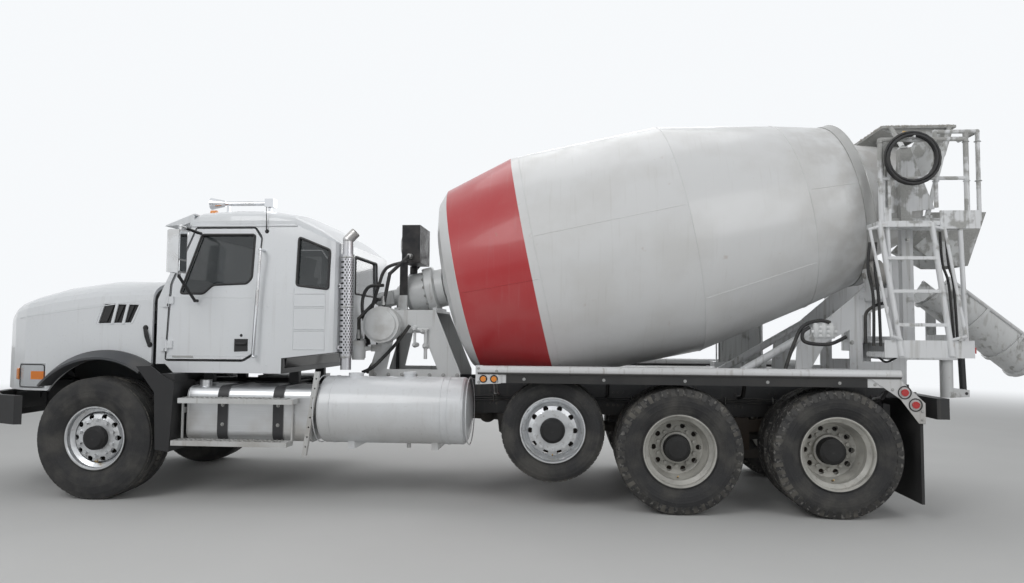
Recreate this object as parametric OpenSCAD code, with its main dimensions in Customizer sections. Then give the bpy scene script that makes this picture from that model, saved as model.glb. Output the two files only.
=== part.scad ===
// Concrete mixer truck with a rear discharge drum: conventional cab, raised pusher axle and two drive axles.
// Stations along the truck are counted from the front axle towards the rear. The origin is the middle of the
// truck's length and width, on the ground. The truck faces -X, and its left side is -Y.

/* [Axles] */
// Front axle to first drive axle
first_drive = 5360; // [5200:10:5500]
// Distance between the two drive axles
tandem = 1335; // [1300:5:1400]
// Pusher axle ahead of the first drive axle
pusher_ahead = 1110; // [1090:5:1130]
// Height of the raised pusher axle's centre
pusher_z = 700; // [690:5:705]
// Tyre centre to truck centre, front axle
front_track = 1020; // [1010:5:1030]
// Tyre centre to truck centre, pusher axle
pusher_track = 990; // [970:5:1010]
// Middle of the twin tyres to truck centre
drive_track = 915; // [905:5:920]

/* [Tyres and rims] */
// Front tyre diameter
front_tyre_d = 1124; // [1100:2:1130]
// Front tyre width
front_tyre_w = 400; // [380:5:405]
// Pusher tyre diameter
pusher_tyre_d = 925; // [900:5:930]
// Pusher tyre width
pusher_tyre_w = 255; // [240:5:265]
// Drive tyre diameter
drive_tyre_d = 1100; // [1080:5:1110]
// Drive tyre width
drive_tyre_w = 280; // [265:5:290]
// Distance between the twin tyres' centres
dual_spacing = 330; // [325:5:345]
// Bead seat diameter of the front and pusher rims
steer_seat_d = 572; // [565:1:580]
// Bead seat diameter of the drive rims
drive_seat_d = 622; // [615:1:630]
// Rim width between flanges, front
front_rim_w = 310; // [300:5:320]
// Rim width between flanges, pusher and drive
rear_rim_w = 210; // [200:5:215]
// Thickness of a rim's metal
rim_t = 12; // [10:1:14]
// Hand holes in a rim's disc
hand_holes = 10; // [8:1:12]
// Wheel nuts on a hub
wheel_nuts = 10; // [8:1:10]

/* [Steering] */
// Kingpin to truck centre
kingpin_y = 775; // [765:5:780]
// Kingpin radius
kingpin_r = 24; // [20:1:28]
// Length of the steering arm, kingpin to tie rod
steer_arm = 210; // [190:5:230]
// Running clearance of a pin or spindle in its bore
run_gap = 0.4; // [0.3:0.1:0.5]
// Diameter of the circle through the wheel nuts
bolt_circle = 335; // [330:1:338]

/* [Frame] */
// Width over the two frame rails
frame_w = 860; // [850:5:870]
// Height of a frame rail
frame_h = 270; // [250:5:275]
// Width of a frame rail's flange
flange_w = 90; // [80:5:95]
// Thickness of a frame rail
rail_t = 12; // [9:1:14]
// Top of the frame above the ground
frame_top = 1045; // [1035:1:1050]
// Rear end of the frame
frame_rear = 7620; // [7600:10:7650]
// Height of the mixer's own rails, which lie on the truck frame
subframe_h = 60; // [50:5:65]

/* [Cab and hood] */
// Half width of the cab at the belt line
cab_half = 1020; // [1010:5:1030]
// Half width of the cab at the gutter
cab_top_half = 965; // [950:5:975]
// Height of the cab's sill
sill_z = 1170; // [1160:5:1180]
// Height of the gutter, where the roof sits
gutter_z = 2590; // [2580:5:2610]
// Back of the cab
cab_back = 2220; // [2210:5:2230]
// Thickness of the cab walls and doors
wall = 48; // [42:2:52]
// Gap around a door
door_gap = 10; // [8:1:11]
// Rise of the roof above the gutter
roof_rise = 195; // [170:5:210]
// Hood top height at its rear edge
hood_rear_z = 2070; // [2055:5:2075]
// Hood shell thickness
hood_t = 30; // [26:2:32]
// Front of the hood ahead of the front axle
hood_reach = 1310; // [1300:5:1320]
// Front of the bumper ahead of the front axle
bumper_reach = 1440; // [1430:5:1460]
// Height of the bumper's top
bumper_top = 945; // [930:5:950]
// Height of the bumper's face
bumper_h = 270; // [240:10:290]

/* [Drum] */
// Slope of the drum's axis
drum_tilt = 11.7; // [11.5:0.1:11.9]
// Station of the drum's head on its axis
drum_x = 3137; // [3130:1:3150]
// Height of the drum's head centre
drum_z = 2061; // [2055:1:2075]
// Largest outer radius of the drum
drum_r = 1178; // [1150:2:1182]
// Thickness of the drum's shell
drum_t = 14; // [10:1:16]
// Outer radius of the roller ring
ring_r = 830; // [825:1:835]
// Width of the roller ring
ring_w = 90; // [80:5:100]
// Position of the roller ring along the axis, from the head
ring_at = 4060; // [4050:5:4070]
// Length of the drum along its axis
drum_len = 4700; // [4690:5:4710]
// Outer radius of the drum's mouth
mouth_r = 470; // [462:2:476]
// Radius of a support roller
roller_r = 120; // [112:2:124]
// Angle of a support roller from the bottom of the ring
roller_angle = 38; // [37:1:39]

/* [Chute] */
// Slope of the chute below level, as it stands
chute_slope = 38.5; // [37:0.5:40]
// Length of the chute
chute_len = 1180; // [1100:10:1200]
// Half width of the chute's trough
chute_r = 262; // [256:1:266]
// Depth of the chute's trough
chute_depth = 300; // [290:2:306]
// Thickness of the chute's plate
chute_t = 8; // [6:1:10]
// Station of the chute's swing axis
swing_x = 8170; // [8160:5:8180]
// Height of the chute's tilt axis
tilt_z = 1990; // [1985:1:1995]

/* [Fenders and tanks] */
// Height of the fender rail's centre
rail_z = 1237; // [1232:1:1242]
// Radius of the fender rail
rail_r = 40; // [36:1:42]
// Fender rail centre to truck centre
rail_y = 1235; // [1230:1:1240]
// Front end of the fenders
fender_front = 3570; // [3560:5:3580]
// Rear end of the fenders
fender_rear = 7395; // [7390:5:7400]
// Radius of the water tank
water_r = 310; // [290:5:315]
// Length of the water tank
water_len = 1440; // [1400:10:1450]
// Fuel tank height
fuel_h = 500; // [470:10:510]
// Fuel tank length
fuel_len = 1200; // [1150:10:1210]

/* [Hidden] */
$fn = 48;
SEAT = 0.3;      // gap between curved faces that rest on each other
NEAR = 0.5;      // gap between flat faces of pieces bolted together
GAP = 5.5;       // gap between flat faces of pieces that move past each other
FAR = 3000;      // reach of a cutting prism
low_deck_end = 7840;
hose_r = 13;
hook_r = 10;
coil_r = 191;
coil = [7400, -1061, 3310 + hook_r + NEAR - coil_r];
front_z = front_tyre_d / 2;
drive_z = drive_tyre_d / 2;
pusher_x = first_drive - pusher_ahead;
second_drive = first_drive + tandem;
web_y = frame_w / 2;
frame_bottom = frame_top - frame_h;
deck_z = frame_top + subframe_h;
frame_front = -1150;
hinge_x = -hood_reach + 75;     // hood hinge behind the hood's face
hinge_z = 1020;
hinge_pin_r = 14;
tow_front = [-bumper_reach + 125, 840];     // station and height of the tow eyes at the front and the rear
tow_rear = [frame_rear - 150, 735];
tow_r = 22;
pedestal_top = 1770;
beam_mid = 480;       // top of the walking beams at their middle
chute_head = 160;     // length of the trough above its tilt axis
chute_rim = 60;       // height of the trough's edge above its tilt axis
rim_bar = 16;         // radius of the bar along the trough's edge
chute_end = chute_len - chute_head;
rear_reach = swing_x + chute_end * cos(chute_slope) + (chute_rim + rim_bar) * sin(chute_slope);
axle_x = (bumper_reach - rear_reach) / 2;

// Places a piece that is drawn with the front axle at X = 0
module from_axle() {
  translate([axle_x, 0, 0]) children();
}

// Draws a piece and its mirror image on the other side of the truck
module both_sides() {
  children();
  mirror([0, 1, 0]) children();
}

// Draws the left side's piece on the side named by s, -1 for left and 1 for right
module on_side(s) {
  if (s < 0) children();
  else mirror([0, 1, 0]) children();
}

module box(low, high) {
  translate(low) cube(high - low);
}

// A round bar between two points; seam turns it about itself, off the edges that it meets
module rod(a, b, r, seam = 0) {
  d = b - a;
  len = norm(d);
  translate(a) rotate([0, acos(d.z / len), atan2(d.y, d.x)]) rotate(seam) cylinder(h = len, r = r);
}

// A bar that follows a list of points, with a ball at each bend
module bent_rod(points, r) {
  for (i = [0 : len(points) - 2]) rod(points[i], points[i + 1], r);
  for (i = [1 : len(points) - 2]) translate(points[i]) sphere(r = r + 2, $fn = 32);
}

// A prism whose outline lies in the XZ plane
module side_plate(points, y0, y1) {
  translate([0, y1, 0]) rotate([90, 0, 0]) linear_extrude(y1 - y0) polygon(points);
}

// A prism whose outline lies in the YZ plane
module cross_plate(points, x0, x1) {
  translate([x0, 0, 0]) rotate([90, 0, 90]) linear_extrude(x1 - x0) polygon(points);
}

// Turns a piece drawn about Z so that its axis points out of the truck's left side
module wheel_axis(x, y, z) {
  translate([x, y, z]) rotate([90, 0, 0]) children();
}

// Frame rails: two channels joined by crossmembers
module channel_rail() {
  i = web_y - rail_t;
  f = web_y - flange_w;
  cross_plate([[-web_y, frame_bottom], [-f, frame_bottom], [-f, frame_bottom + rail_t],
    [-i, frame_bottom + rail_t], [-i, frame_top - rail_t], [-f, frame_top - rail_t],
    [-f, frame_top], [-web_y, frame_top]], frame_front, frame_rear);
}

module frame_rails() {
  crossmembers = [frame_front + 60, 1500, 2250, 3650, 4800, first_drive + tandem / 2, frame_rear - 60];
  cab_mounts = [700, 1600];
  low = frame_top - 140;
  high = frame_top - 10;
  half = web_y - rail_t + 1;
  from_axle() color("dimgray") {
    both_sides() channel_rail();
    for (x = crossmembers) difference() {
      box([x - 45, -half, low], [x + 45, half, high]);
      box([x - 35, -FAR, low + 10], [x + 60, FAR, high - 10]);
    }
    both_sides() for (x = cab_mounts) box([x - 50, -420, frame_top - 1], [x + 50, -350, sill_z - NEAR]);
    both_sides() tow_bracket();
    rear_sill();
    mixer_subframe();
  }
}

// Bracket at each front rail end that carries the bumper
module tow_bracket() {
  difference() {
    side_plate([[hinge_x - 26, hinge_z - 10], [hinge_x - 12, hinge_z + 26], [hinge_x + 20, hinge_z + 24],
      [frame_front + 60, frame_top - 60], [frame_front + 60, bumper_top - 80],
      [hinge_x, bumper_top - 80]], -web_y - 28, -web_y - 13);
    wheel_axis(hinge_x, FAR, hinge_z) cylinder(h = 2 * FAR, r = hinge_pin_r + run_gap);
  }
  difference() {
    side_plate([[frame_front - NEAR, frame_bottom], [frame_front + 120, frame_bottom],
      [frame_front + 120, bumper_top - 30], [-bumper_reach + 77.5, bumper_top - 30],
      [-bumper_reach + 77.5, bumper_top - bumper_h + 60]], -web_y - 14, -web_y);
    wheel_axis(tow_front.x, FAR, tow_front.y) cylinder(h = 2 * FAR, r = tow_r);
  }
}

// Underride bar and its drop plates at the rear of the frame
module rear_sill() {
  both_sides() side_plate([[frame_rear - 250, frame_bottom + 20], [frame_rear + 60, frame_bottom + 20],
    [frame_rear + 60, frame_top - 10], [frame_rear - 250, frame_top - 10]], -web_y - 14, -web_y);
  both_sides() difference() {
    side_plate([[tow_rear.x - 100, frame_bottom + 21], [tow_rear.x - 50, tow_rear.y - 45],
      [tow_rear.x + 50, tow_rear.y - 45], [tow_rear.x + 100, frame_bottom + 21]], -web_y - 14, -web_y);
    wheel_axis(tow_rear.x, FAR, tow_rear.y) cylinder(h = 2 * FAR, r = tow_r);
  }
  box([frame_rear - 40, -1050, frame_bottom + 70], [frame_rear + 65, 1050, frame_top - 20]);
}

// Mixer rails that lie on the truck frame
module mixer_subframe() {
  both_sides() box([2300, -web_y + 0.5, frame_top - 1], [frame_rear, -web_y + 80, deck_z]);
  for (x = [2360, 3420, 5000, 6300, frame_rear - 50])
    box([x - 40, -web_y + 79, frame_top - 1], [x + 40, web_y - 79, frame_top + 25]);
}

// Front bumper: a channel swept back at its ends
module front_bumper() {
  low = bumper_top - bumper_h;
  tip = -bumper_reach;
  outline = [[tip, 0], [tip + 8, -500], [tip + 90, -800], [tip + 330, -1060], [tip + 640, -1190]];
  t = 70;
  outer = concat(outline, [for (i = [len(outline) - 1 : -1 : 1]) [outline[i].x + t, outline[i].y * 0.985]],
    [[tip + t, 0]]);
  from_axle() color("#222428") difference() {
    both_sides() translate([0, 0, low]) linear_extrude(bumper_h) polygon(outer);
    for (s = [-1, 1]) on_side(s) fog_recess(low);
    both_sides() box([tip - 10, -300, low + 90], [tip + 40, -180, low + 150]);
  }
}

module fog_recess(low) {
  translate([-bumper_reach + 20, -620, low + bumper_h / 2]) rotate([0, 90, 0]) cylinder(h = 200, r = 55);
}

// Front axle: a dropped I-beam with a bored boss at each end
module front_axle() {
  beam_top = front_z + 55;
  beam_low = front_z - 70;
  drop = 90;
  from_axle() color("#33363a") difference() {
    union() {
      difference() {
        cross_plate([[-kingpin_y + 20, beam_low], [-600, beam_low], [-480, beam_low - drop],
          [480, beam_low - drop], [600, beam_low], [kingpin_y - 20, beam_low],
          [kingpin_y - 20, beam_top], [600, beam_top], [480, beam_top - drop],
          [-480, beam_top - drop], [-600, beam_top], [-kingpin_y + 20, beam_top]], -45, 45);
        for (s = [-1, 1]) cross_plate([[-590, beam_low + 25], [-470, beam_low - drop + 25],
          [470, beam_low - drop + 25], [590, beam_low + 25], [590, beam_top - 25],
          [470, beam_top - drop - 25], [-470, beam_top - drop - 25], [-590, beam_top - 25]],
          s < 0 ? -60 : 14, s < 0 ? -14 : 60);
      }
      both_sides() translate([0, -kingpin_y, beam_low]) cylinder(h = beam_top - beam_low, r = 50);
    }
    both_sides() translate([0, -kingpin_y, beam_low - 10])
      cylinder(h = beam_top - beam_low + 20, r = kingpin_r + run_gap);
  }
}

// Leaf spring packs: rows of [middle station, lowest leaf, half length, leaves, distance from the truck's
// centre, foot of the clamp]. The rear packs sit on the walking beams between the drive axles.
module leaf_springs() {
  packs = [[0, front_z - 35 + NEAR, 700, 4, 430, front_z - 35 + NEAR],
    [first_drive + tandem / 2, drive_z + 95, 560, 7, 505, beam_mid + NEAR]];
  leaf = 16;
  width = 76;
  from_axle() color("#2b2d30") both_sides() for (p = packs) {
    for (i = [0 : p[3] - 1]) {
      half = p[2] * (1 - 0.11 * (p[3] - 1 - i));
      rise = 0.05;
      side_plate([[p[0] - half, p[1] + leaf * i + half * rise], [p[0] - 60, p[1] + leaf * i],
        [p[0] + 60, p[1] + leaf * i], [p[0] + half, p[1] + leaf * i + half * rise],
        [p[0] + half, p[1] + leaf * (i + 1) + half * rise], [p[0] + 60, p[1] + leaf * (i + 1)],
        [p[0] - 60, p[1] + leaf * (i + 1)], [p[0] - half, p[1] + leaf * (i + 1) + half * rise]],
        -p[4] - width / 2, -p[4] + width / 2);
    }
    top = p[1] + leaf * p[3];
    box([p[0] - 70, -p[4] - width / 2 - 12, p[5]], [p[0] + 70, -p[4] + width / 2 + 12, top + 20]);
    for (s = [-1, 1]) spring_hanger(p[0] + s * (p[2] - 40), p[4], top);
  }
}

// Hanger bracket that bolts a spring's end under the frame rail
module spring_hanger(x, y, top) {
  side_plate([[x - 60, frame_bottom - NEAR], [x + 60, frame_bottom - NEAR], [x + 30, top - 20],
    [x - 30, top - 20]], -max(y, web_y) - 46, -web_y + 60);
}

// Engine with its gearbox as one plain mass, and the radiator with its side tanks and fan shroud
module engine() {
  from_axle() color("#4a4d50") {
    box([-830, -300, 760], [420, 300, 1500]);
    box([-700, -200, 1499], [380, 200, 1640]);
    rod([419, 0, 900], [1350, 0, 830], 180);
    both_sides() box([-500, -web_y + rail_t + NEAR, 860], [-400, -299, 960]);
    difference() {
      union() {
        box([-1130, -400, frame_top + NEAR], [-1040, 400, 1640]);
        both_sides() box([-1145, -440, frame_top + NEAR], [-1025, -399, 1660]);
        translate([-1041, 0, 1350]) rotate([0, 90, 0]) cylinder(h = 90, r = 290);
      }
      translate([-1030, 0, 1350]) rotate([0, 90, 0]) cylinder(h = 100, r = 272);
    }
  }
}

// Half width of the cab at a height
function cab_side(z) = z < 1860 ? cab_half : z < 2035 ? cab_half - 8 * (z - 1860) / 175
  : cab_half - 8 - (cab_half - 8 - cab_top_half) * (z - 2035) / (gutter_z - 2035);

// Outline of the cab in plan: rows of [height, half width, front at the middle, bow of the front, back]
function cab_levels() = [
  [sill_z, cab_half, 466, 12, cab_back],
  [1860, cab_half, 466, 12, cab_back],
  [2035, cab_half - 8, 470, 80, cab_back],
  [gutter_z, cab_top_half, 690, 85, cab_back - 10]];

function cab_ring(row, t) = let(
    half = row[1] - t,
    front = row[2] + t,
    back = row[4] - t,
    r = 110,
    n = 8)
  concat(
    [for (i = [0 : n]) let(y = -half + 2 * half * i / n) [front + row[3] * pow(y / half, 2), y]],
    [for (a = [90 : -22.5 : 0]) [back - r + r * cos(a), half - r + r * sin(a)]],
    [for (a = [0 : -22.5 : -90]) [back - r + r * cos(a), -half + r + r * sin(a)]]);

// A solid through the cab's levels, each ring moved in by t. The floor is raised and the top opened by t.
module cab_loft(t, floor_up, top_up) {
  rows = cab_levels();
  n = len(cab_ring(rows[0], t));
  last = len(rows) - 1;
  zs = [for (i = [0 : last]) i == 0 ? rows[0][0] + floor_up : i == last ? rows[last][0] + top_up : rows[i][0]];
  points = [for (i = [0 : last]) for (p = cab_ring(rows[i], t)) [p.x, p.y, zs[i]]];
  sides = [for (i = [0 : last - 1]) for (j = [0 : n - 1]) let(k = (j + 1) % n)
    each [[i * n + j, i * n + k, (i + 1) * n + j], [i * n + k, (i + 1) * n + k, (i + 1) * n + j]]];
  polyhedron(points, concat([[for (j = [n - 1 : -1 : 0]) j]], sides, [[for (j = [0 : n - 1]) last * n + j]]),
    convexity = 4);
}

// Door outline on the cab's side, and the window in it
door_line = [[570, 1285], [600, 2010], [815, 2560], [1400, 2560], [1470, 2460], [1420, 1340], [1330, 1285]];
window_line = [[705, 1925], [930, 1925], [1020, 2010], [1340, 2020], [1385, 2070], [1395, 2480], [880, 2480]];
side_window = [[1840, 2010], [2130, 1975], [2130, 2330], [1840, 2450]];

// The same outline drawn in by a gap towards its middle
function middle(points, i = 0, sum = [0, 0]) =
  i == len(points) ? sum / len(points) : middle(points, i + 1, sum + points[i]);
function drawn_in(points, gap) = let(c = middle(points))
  [for (p = points) p - (p - c) * gap / norm(p - c) * 1.6];

module cab_shell() {
  from_axle() color("white") difference() {
    cab_loft(0, 0, 0);
    cab_loft(wall, wall, 60);
    both_sides() side_plate(door_line, -FAR, -700);
    both_sides() side_plate(side_window, -FAR, -700);
    windshield_prism();
    rear_window_prism();
    side_plate([[1780, gutter_z], [2400, gutter_z - 265], [2400, FAR], [1780, FAR]], -FAR, FAR);
    side_plate([[1710, 0], [1720, 1310], [2400, 1390], [2400, 0]], -FAR, FAR);
    side_plate([[300, 0], [300, 1250], [570, 1250], [650, sill_z], [650, 0]], -FAR, FAR);
  }
  from_axle() color("white") {
    side_plate([[1700, sill_z + 30], [1712, 1358], [2200, 1418], [2200, 1376], [1735, 1322], [1712, sill_z + 30]],
      -cab_half + 62, cab_half - 62);
    both_sides() for (z = hinge_levels) {
      translate([door_axis().x, door_axis().y, z - 30]) cylinder(h = 29, r = 14);
      translate([door_axis().x, door_axis().y, z - 10]) cylinder(h = 90, r = door_pin_r);
      box([530, door_axis().y - 4, z - 30], [door_axis().x, -cab_half + 1, z - 1]);
    }
  }
}

module windshield_prism() {
  cross_plate([[-880, 2085], [880, 2085], [820, 2530], [-820, 2530]], 300, 960);
}

module rear_window_prism() {
  cross_plate([[-420, 1960], [420, 1960], [400, 2330], [-400, 2330]], 2050, 2400);
}

// Fixed glass: windshield, rear window and the two rear side windows
module cab_glass() {
  from_axle() color("#30363a") intersection() {
    difference() {
      cab_loft(16, 0, 0);
      cab_loft(23, 0, 10);
    }
    union() {
      windshield_prism();
      rear_window_prism();
      both_sides() side_plate(side_window, -FAR, -700);
    }
  }
}

// Sections of a crowned shell, rows of [station, half width, shoulder height, crown height, lower edge]
function arch_ring(row, t, drop, n) = let(half = row[1] - t, rise = row[3] - row[2] - t * 0.6)
  concat([[-half, row[4] - drop]],
    [for (i = [0 : n]) let(a = 180 - 180 * i / n, c = cos(a), s = sin(a))
      [half * sign(c) * pow(abs(c), 0.62), row[2] - t * 0.4 + rise * pow(abs(s), 0.78)]],
    [[half, row[4] - drop]]);

module arch_loft(rows, t, drop, first_in, last_out, n = 16) {
  m = n + 3;
  last = len(rows) - 1;
  xs = [for (i = [0 : last]) i == 0 ? rows[0][0] + first_in : i == last ? rows[last][0] + last_out
    : max(rows[i][0] + (first_in > 0 && i < 3 ? first_in * (3 - i) / 3 : 0), rows[0][0] + first_in + i)];
  points = [for (i = [0 : last]) for (p = arch_ring(rows[i], t, drop, n)) [xs[i], p.x, p.y]];
  sides = [for (i = [0 : last - 1]) for (j = [0 : m - 1]) let(k = (j + 1) % m)
    each [[i * m + j, i * m + k, (i + 1) * m + j], [i * m + k, (i + 1) * m + k, (i + 1) * m + j]]];
  polyhedron(points, concat([[for (j = [m - 1 : -1 : 0]) j]], sides, [[for (j = [0 : m - 1]) last * m + j]]),
    convexity = 6);
}

roof_rows = [
  [650, 800, gutter_z + 10, gutter_z + 40, gutter_z + 0.5],
  [700, 880, gutter_z + 20, gutter_z + roof_rise * 0.62, gutter_z + 0.5],
  [820, 950, gutter_z + 30, gutter_z + roof_rise * 0.9, gutter_z + 0.5],
  [1150, 968, gutter_z + 35, gutter_z + roof_rise, gutter_z + 0.5],
  [1450, 968, gutter_z + 35, gutter_z + roof_rise * 0.97, gutter_z + 0.5],
  [1780, 962, gutter_z + 30, gutter_z + roof_rise * 0.66, gutter_z + 0.5],
  [2050, 945, gutter_z - 90, gutter_z - 20, gutter_z - 115],
  [cab_back - 12, 900, gutter_z - 175, gutter_z - 160, gutter_z - 182.4]];

// Roof skin with its sun visor and marker lamp row
module cab_roof() {
  visor = [[440, 2588], [452, 2600], [735, 2712], [735, 2698], [455, 2584]];
  from_axle() color("white") {
    difference() {
      arch_loft(roof_rows, 0, 0, 0, 0);
      arch_loft(roof_rows, wall, 20, 70, -70);
    }
    side_plate(visor, -870, 870);
    both_sides() side_plate([[440, 2588], [735, 2698], [735, 2640], [640, 2600]], -876, -866);
    both_sides() box([700, -600, 2680], [735, -580, 2705]);
  }
}

// The roof's outer shape, lifted a little, to seat what stands on it
module above_roof() {
  translate([0, 0, SEAT]) arch_loft(roof_rows, 0, 0, 0, 0);
}

// Seats, dashboard and steering wheel, seen through the glass
module cab_interior() {
  from_axle() color("#3a3b3d") {
    for (y = [-520, 520]) translate([0, y, 0]) {
      box([1180, -150, sill_z + wall + NEAR], [1520, 150, sill_z + wall + 180]);
      side_plate([[1090, 1450], [1600, 1400], [1640, 1500], [1780, 2120], [1690, 2140], [1560, 1560],
        [1100, 1560]], -250, 250);
      box([1130, -230, sill_z + wall + 170], [1560, 230, 1470]);
      side_plate([[1700, 2120], [1770, 2110], [1800, 2300], [1730, 2310]], -130, 130);
    }
    side_plate([[526.3, 1560], [760, 1520], [820, 1760], [700, 1930], [572, 1960], [526.3, 1852]],
      -cab_half + 120, cab_half - 120);
    box([640, -160, sill_z + wall + NEAR], [760, 160, 1560]);
    rod([770, -520, 1780], [930, -520, 1850], 28);
    translate([935, -520, 1852]) rotate([0, 66, 0]) {
      rotate_extrude() translate([225, 0]) circle(r = 15, $fn = 20);
      for (a = [0, 120, 240]) rotate([0, 0, a]) box([-12, 0, -8], [12, 220, 8]);
      translate([0, 0, -14]) cylinder(h = 26, r = 62);
    }
  }
}

// Air horn and the roof aerial's rod
module air_horn() {
  y = -500;
  z = 2872;
  from_axle() color("silver") {
    translate([720, y, z]) rotate([0, 90, 0]) cylinder(h = 150, r1 = 62, r2 = 30);
    rod([869, y, z], [1300, y, z], 24);
    box([1299, y - 45, z - 42], [1390, y + 45, z + 42]);
    difference() {
      for (x = [900, 1340]) box([x - 14, y - 12, 2700], [x + 14, y + 12, z]);
      above_roof();
    }
  }
}

// Exhaust stack behind the cab, with its curved tip and clamps
module exhaust_stack() {
  y = -930;
  x = cab_back + 75;
  from_axle() color("silver") {
    rod([x, y, 1210], [x, y, 2390], 50);
    rod([x, y, 1340], [x, y, 2300], 62);
    difference() {
      bent_rod([[x, y, 2380], [x, y, 2440], [x + 75, y, 2515]], 49);
      rod([x + 30, y, 2470], [x + 180, y, 2620], 42);
    }
    for (z = [1420, 2000]) box([cab_back + NEAR, y - 30, z - 20], [x, y + 30, z + 20]);
  }
}

// Grab rails behind the doors
module grab_rails() {
  from_axle() color("silver") both_sides() {
    y = -cab_half - 62;
    bent_rod([[1500, -cab_side(2316) - NEAR, 2330], [1500, y, 2330], [1460, y, 1330],
      [1460, -cab_half - NEAR, 1330]], 14);
  }
}

// Two steps under each door with their hangers
module cab_steps() {
  steps = [[830, 1910, 905], [775, 1860, 520]];
  from_axle() color("white") both_sides() {
    for (s = steps) difference() {
      box([s[0], -1250, s[2]], [s[1], -1096, s[2] + 45]);
      for (x = [s[0] + 50 : 90 : s[1] - 90]) box([x, -1225, s[2] - 1], [x + 50, -1115, s[2] + 46]);
    }
    for (x = [800, 1850]) {
      box([x, -1116, 521], [x + 14, -1095, 949]);
      box([x, -1100, 800], [x + 14, x < 1000 ? -web_y - NEAR : -1085 - SEAT, 850]);
    }
    difference() {
      side_plate([[1975, 440], [2015, 440], [2125, 1200], [2080, 1200]], -1170, -1130);
      for (i = [0 : 7]) translate([2010 + i * 12.5, -1100, 520 + i * 88]) rotate([90, 0, 0])
        cylinder(h = 100, r = 9, $fn = 20);
    }
    box([2037, -1135, 780], [2052, -web_y - NEAR, 830]);
  }
}

// Fuel tank on the left side under the cab, with its straps and cap
module fuel_tank() {
  top = 1045;
  x0 = 835;
  r = 90;
  from_axle() color("gainsboro") {
    hull() for (y = [-1085 + r, -445 - r], z = [top - fuel_h + r, top - r])
      translate([x0, y, z]) rotate([0, 90, 0]) cylinder(h = fuel_len, r = r, $fn = 32);
    for (x = [x0 + 300, x0 + 830]) {
      hull() for (y = [-1085 + r, -445 - r], z = [top - fuel_h + r, top - r])
        translate([x, y, z]) rotate([0, 90, 0]) cylinder(h = 100, r = r + 9, $fn = 32);
      box([x, -437, 800], [x + 100, -web_y - NEAR, 860]);
    }
    translate([x0 + 110, -950, top - 5]) cylinder(h = 60, r = 55);
  }
}

// Battery box, step box and air tanks on the right side
module side_boxes() {
  from_axle() color("gainsboro") {
    box([840, 470, 560], [1480, 1080, 1040]);
    box([838, 469, 1039], [1482, 1084, 1062]);
    box([1540, 520, 600], [2000, 1085, 1000]);
    for (x = [1000, 1300, 1600, 1900]) box([x, web_y + 0.5, 800], [x + 40, 530, 860]);
    for (z = [690, 960]) {
      translate([2350, 640, z]) rotate([0, 90, 0]) cylinder(h = 900, r = 120);
      for (x = [2330, 3240]) translate([x, 640, z]) rotate([0, 90, 0]) cylinder(h = 30, r = 80);
      for (x = [2500, 3050]) box([x, web_y + NEAR, z - 25], [x + 40, 640, z + 25]);
    }
    for (x = [2500, 3050]) box([x, web_y + NEAR, 665], [x + 40, web_y + 30, 985]);
  }
}

// Water tank on the left side: a rolled barrel with dished ends and its cradles
module water_tank() {
  x0 = 2055;
  y = -880;
  z = 840;
  dish = 70;
  barrel = water_len - 2 * dish;
  from_axle() color("white") {
    translate([x0, y, z]) rotate([0, 90, 0]) rotate_extrude() polygon(concat([[0, 0]],
      [for (a = [15 : 15 : 90]) [water_r * sin(a), dish - dish * cos(a)]],
      [for (a = [90 : -15 : 15]) [water_r * sin(a), dish + barrel + dish * cos(a)]],
      [[0, water_len]]));
    for (x = [150, water_len - 270, water_len - 210]) translate([x0 + x, y, z]) rotate([0, 90, 0])
      cylinder(h = 14, r = water_r + 5);
    translate([x0 + 330, y, z + water_r - 10]) cylinder(h = 40, r = 70);
    for (x = [300, 1080]) {
      box([x0 + x, -1000, z - water_r - 45], [x0 + x + 60, -520, z - 200]);
      box([x0 + x, -580, z - water_r - 45], [x0 + x + 60, -web_y - 0.5, frame_top - 30]);
    }
  }
}

// White pedestal that carries the drum's gearbox
module front_pedestal() {
  top = pedestal_top;
  from_axle() color("white") {
    both_sides() difference() {
      side_plate([[2380, deck_z + 0.5], [3310, deck_z + 0.5], [3310, deck_z + 60], [3060, top],
        [2560, top], [2380, deck_z + 60]], -430, -415);
      side_plate([[2560, deck_z + 90], [3080, deck_z + 90], [2930, 1560], [2640, 1560]], -FAR, -300);
    }
    for (z = [deck_z + 0.5, 1590]) box([2600, -416, z], [2960, 416, z + 14]);
    difference() {
      union() {
        box([2540, -430, top - 1], [3060, 430, top + 22]);
        for (x = [2600, 3000]) box([x, -300, top + 21], [x + 40, 300, top + 50]);
      }
      gearbox(NEAR);
    }
  }
}

// Places a piece on the drum's axis, s from the drum's head
module on_drum_axis(s) {
  translate([drum_x, 0, drum_z]) rotate([0, 90 - drum_tilt, 0]) translate([0, 0, s]) children();
}

// Gearbox and hydraulic motor that turn the drum
module gearbox(grow) {
  steps = [[110, 0, -1], [110, 60, -1], [170, 90, -1], [205, 140, -1], [205, 300, -1], [240, 320, -1],
    [240, 400, 1], [200, 420, 1], [200, 500, 1]];
  on_drum_axis(-560) rotate_extrude()
    polygon(concat([[0, -grow]], [for (p = steps) [p[0] + grow, p[1] + p[2] * grow]], [[0, 500 + grow]]));
}

module drum_drive() {
  from_axle() color("whitesmoke") {
    difference() {
      gearbox(0);
      on_drum_axis(-230) cylinder(h = 300, r = 70 + run_gap);
    }
    on_drum_axis(-800) cylinder(h = 241, r = 85);
    on_drum_axis(-700) box([-70, -110, 0], [70, 110, 90]);
    box([2600, -150, pedestal_top + 50 + NEAR], [2640, 150, 1930]);
    box([3000, -150, pedestal_top + 50 + NEAR], [3012, 150, 1930]);
  }
}

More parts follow.
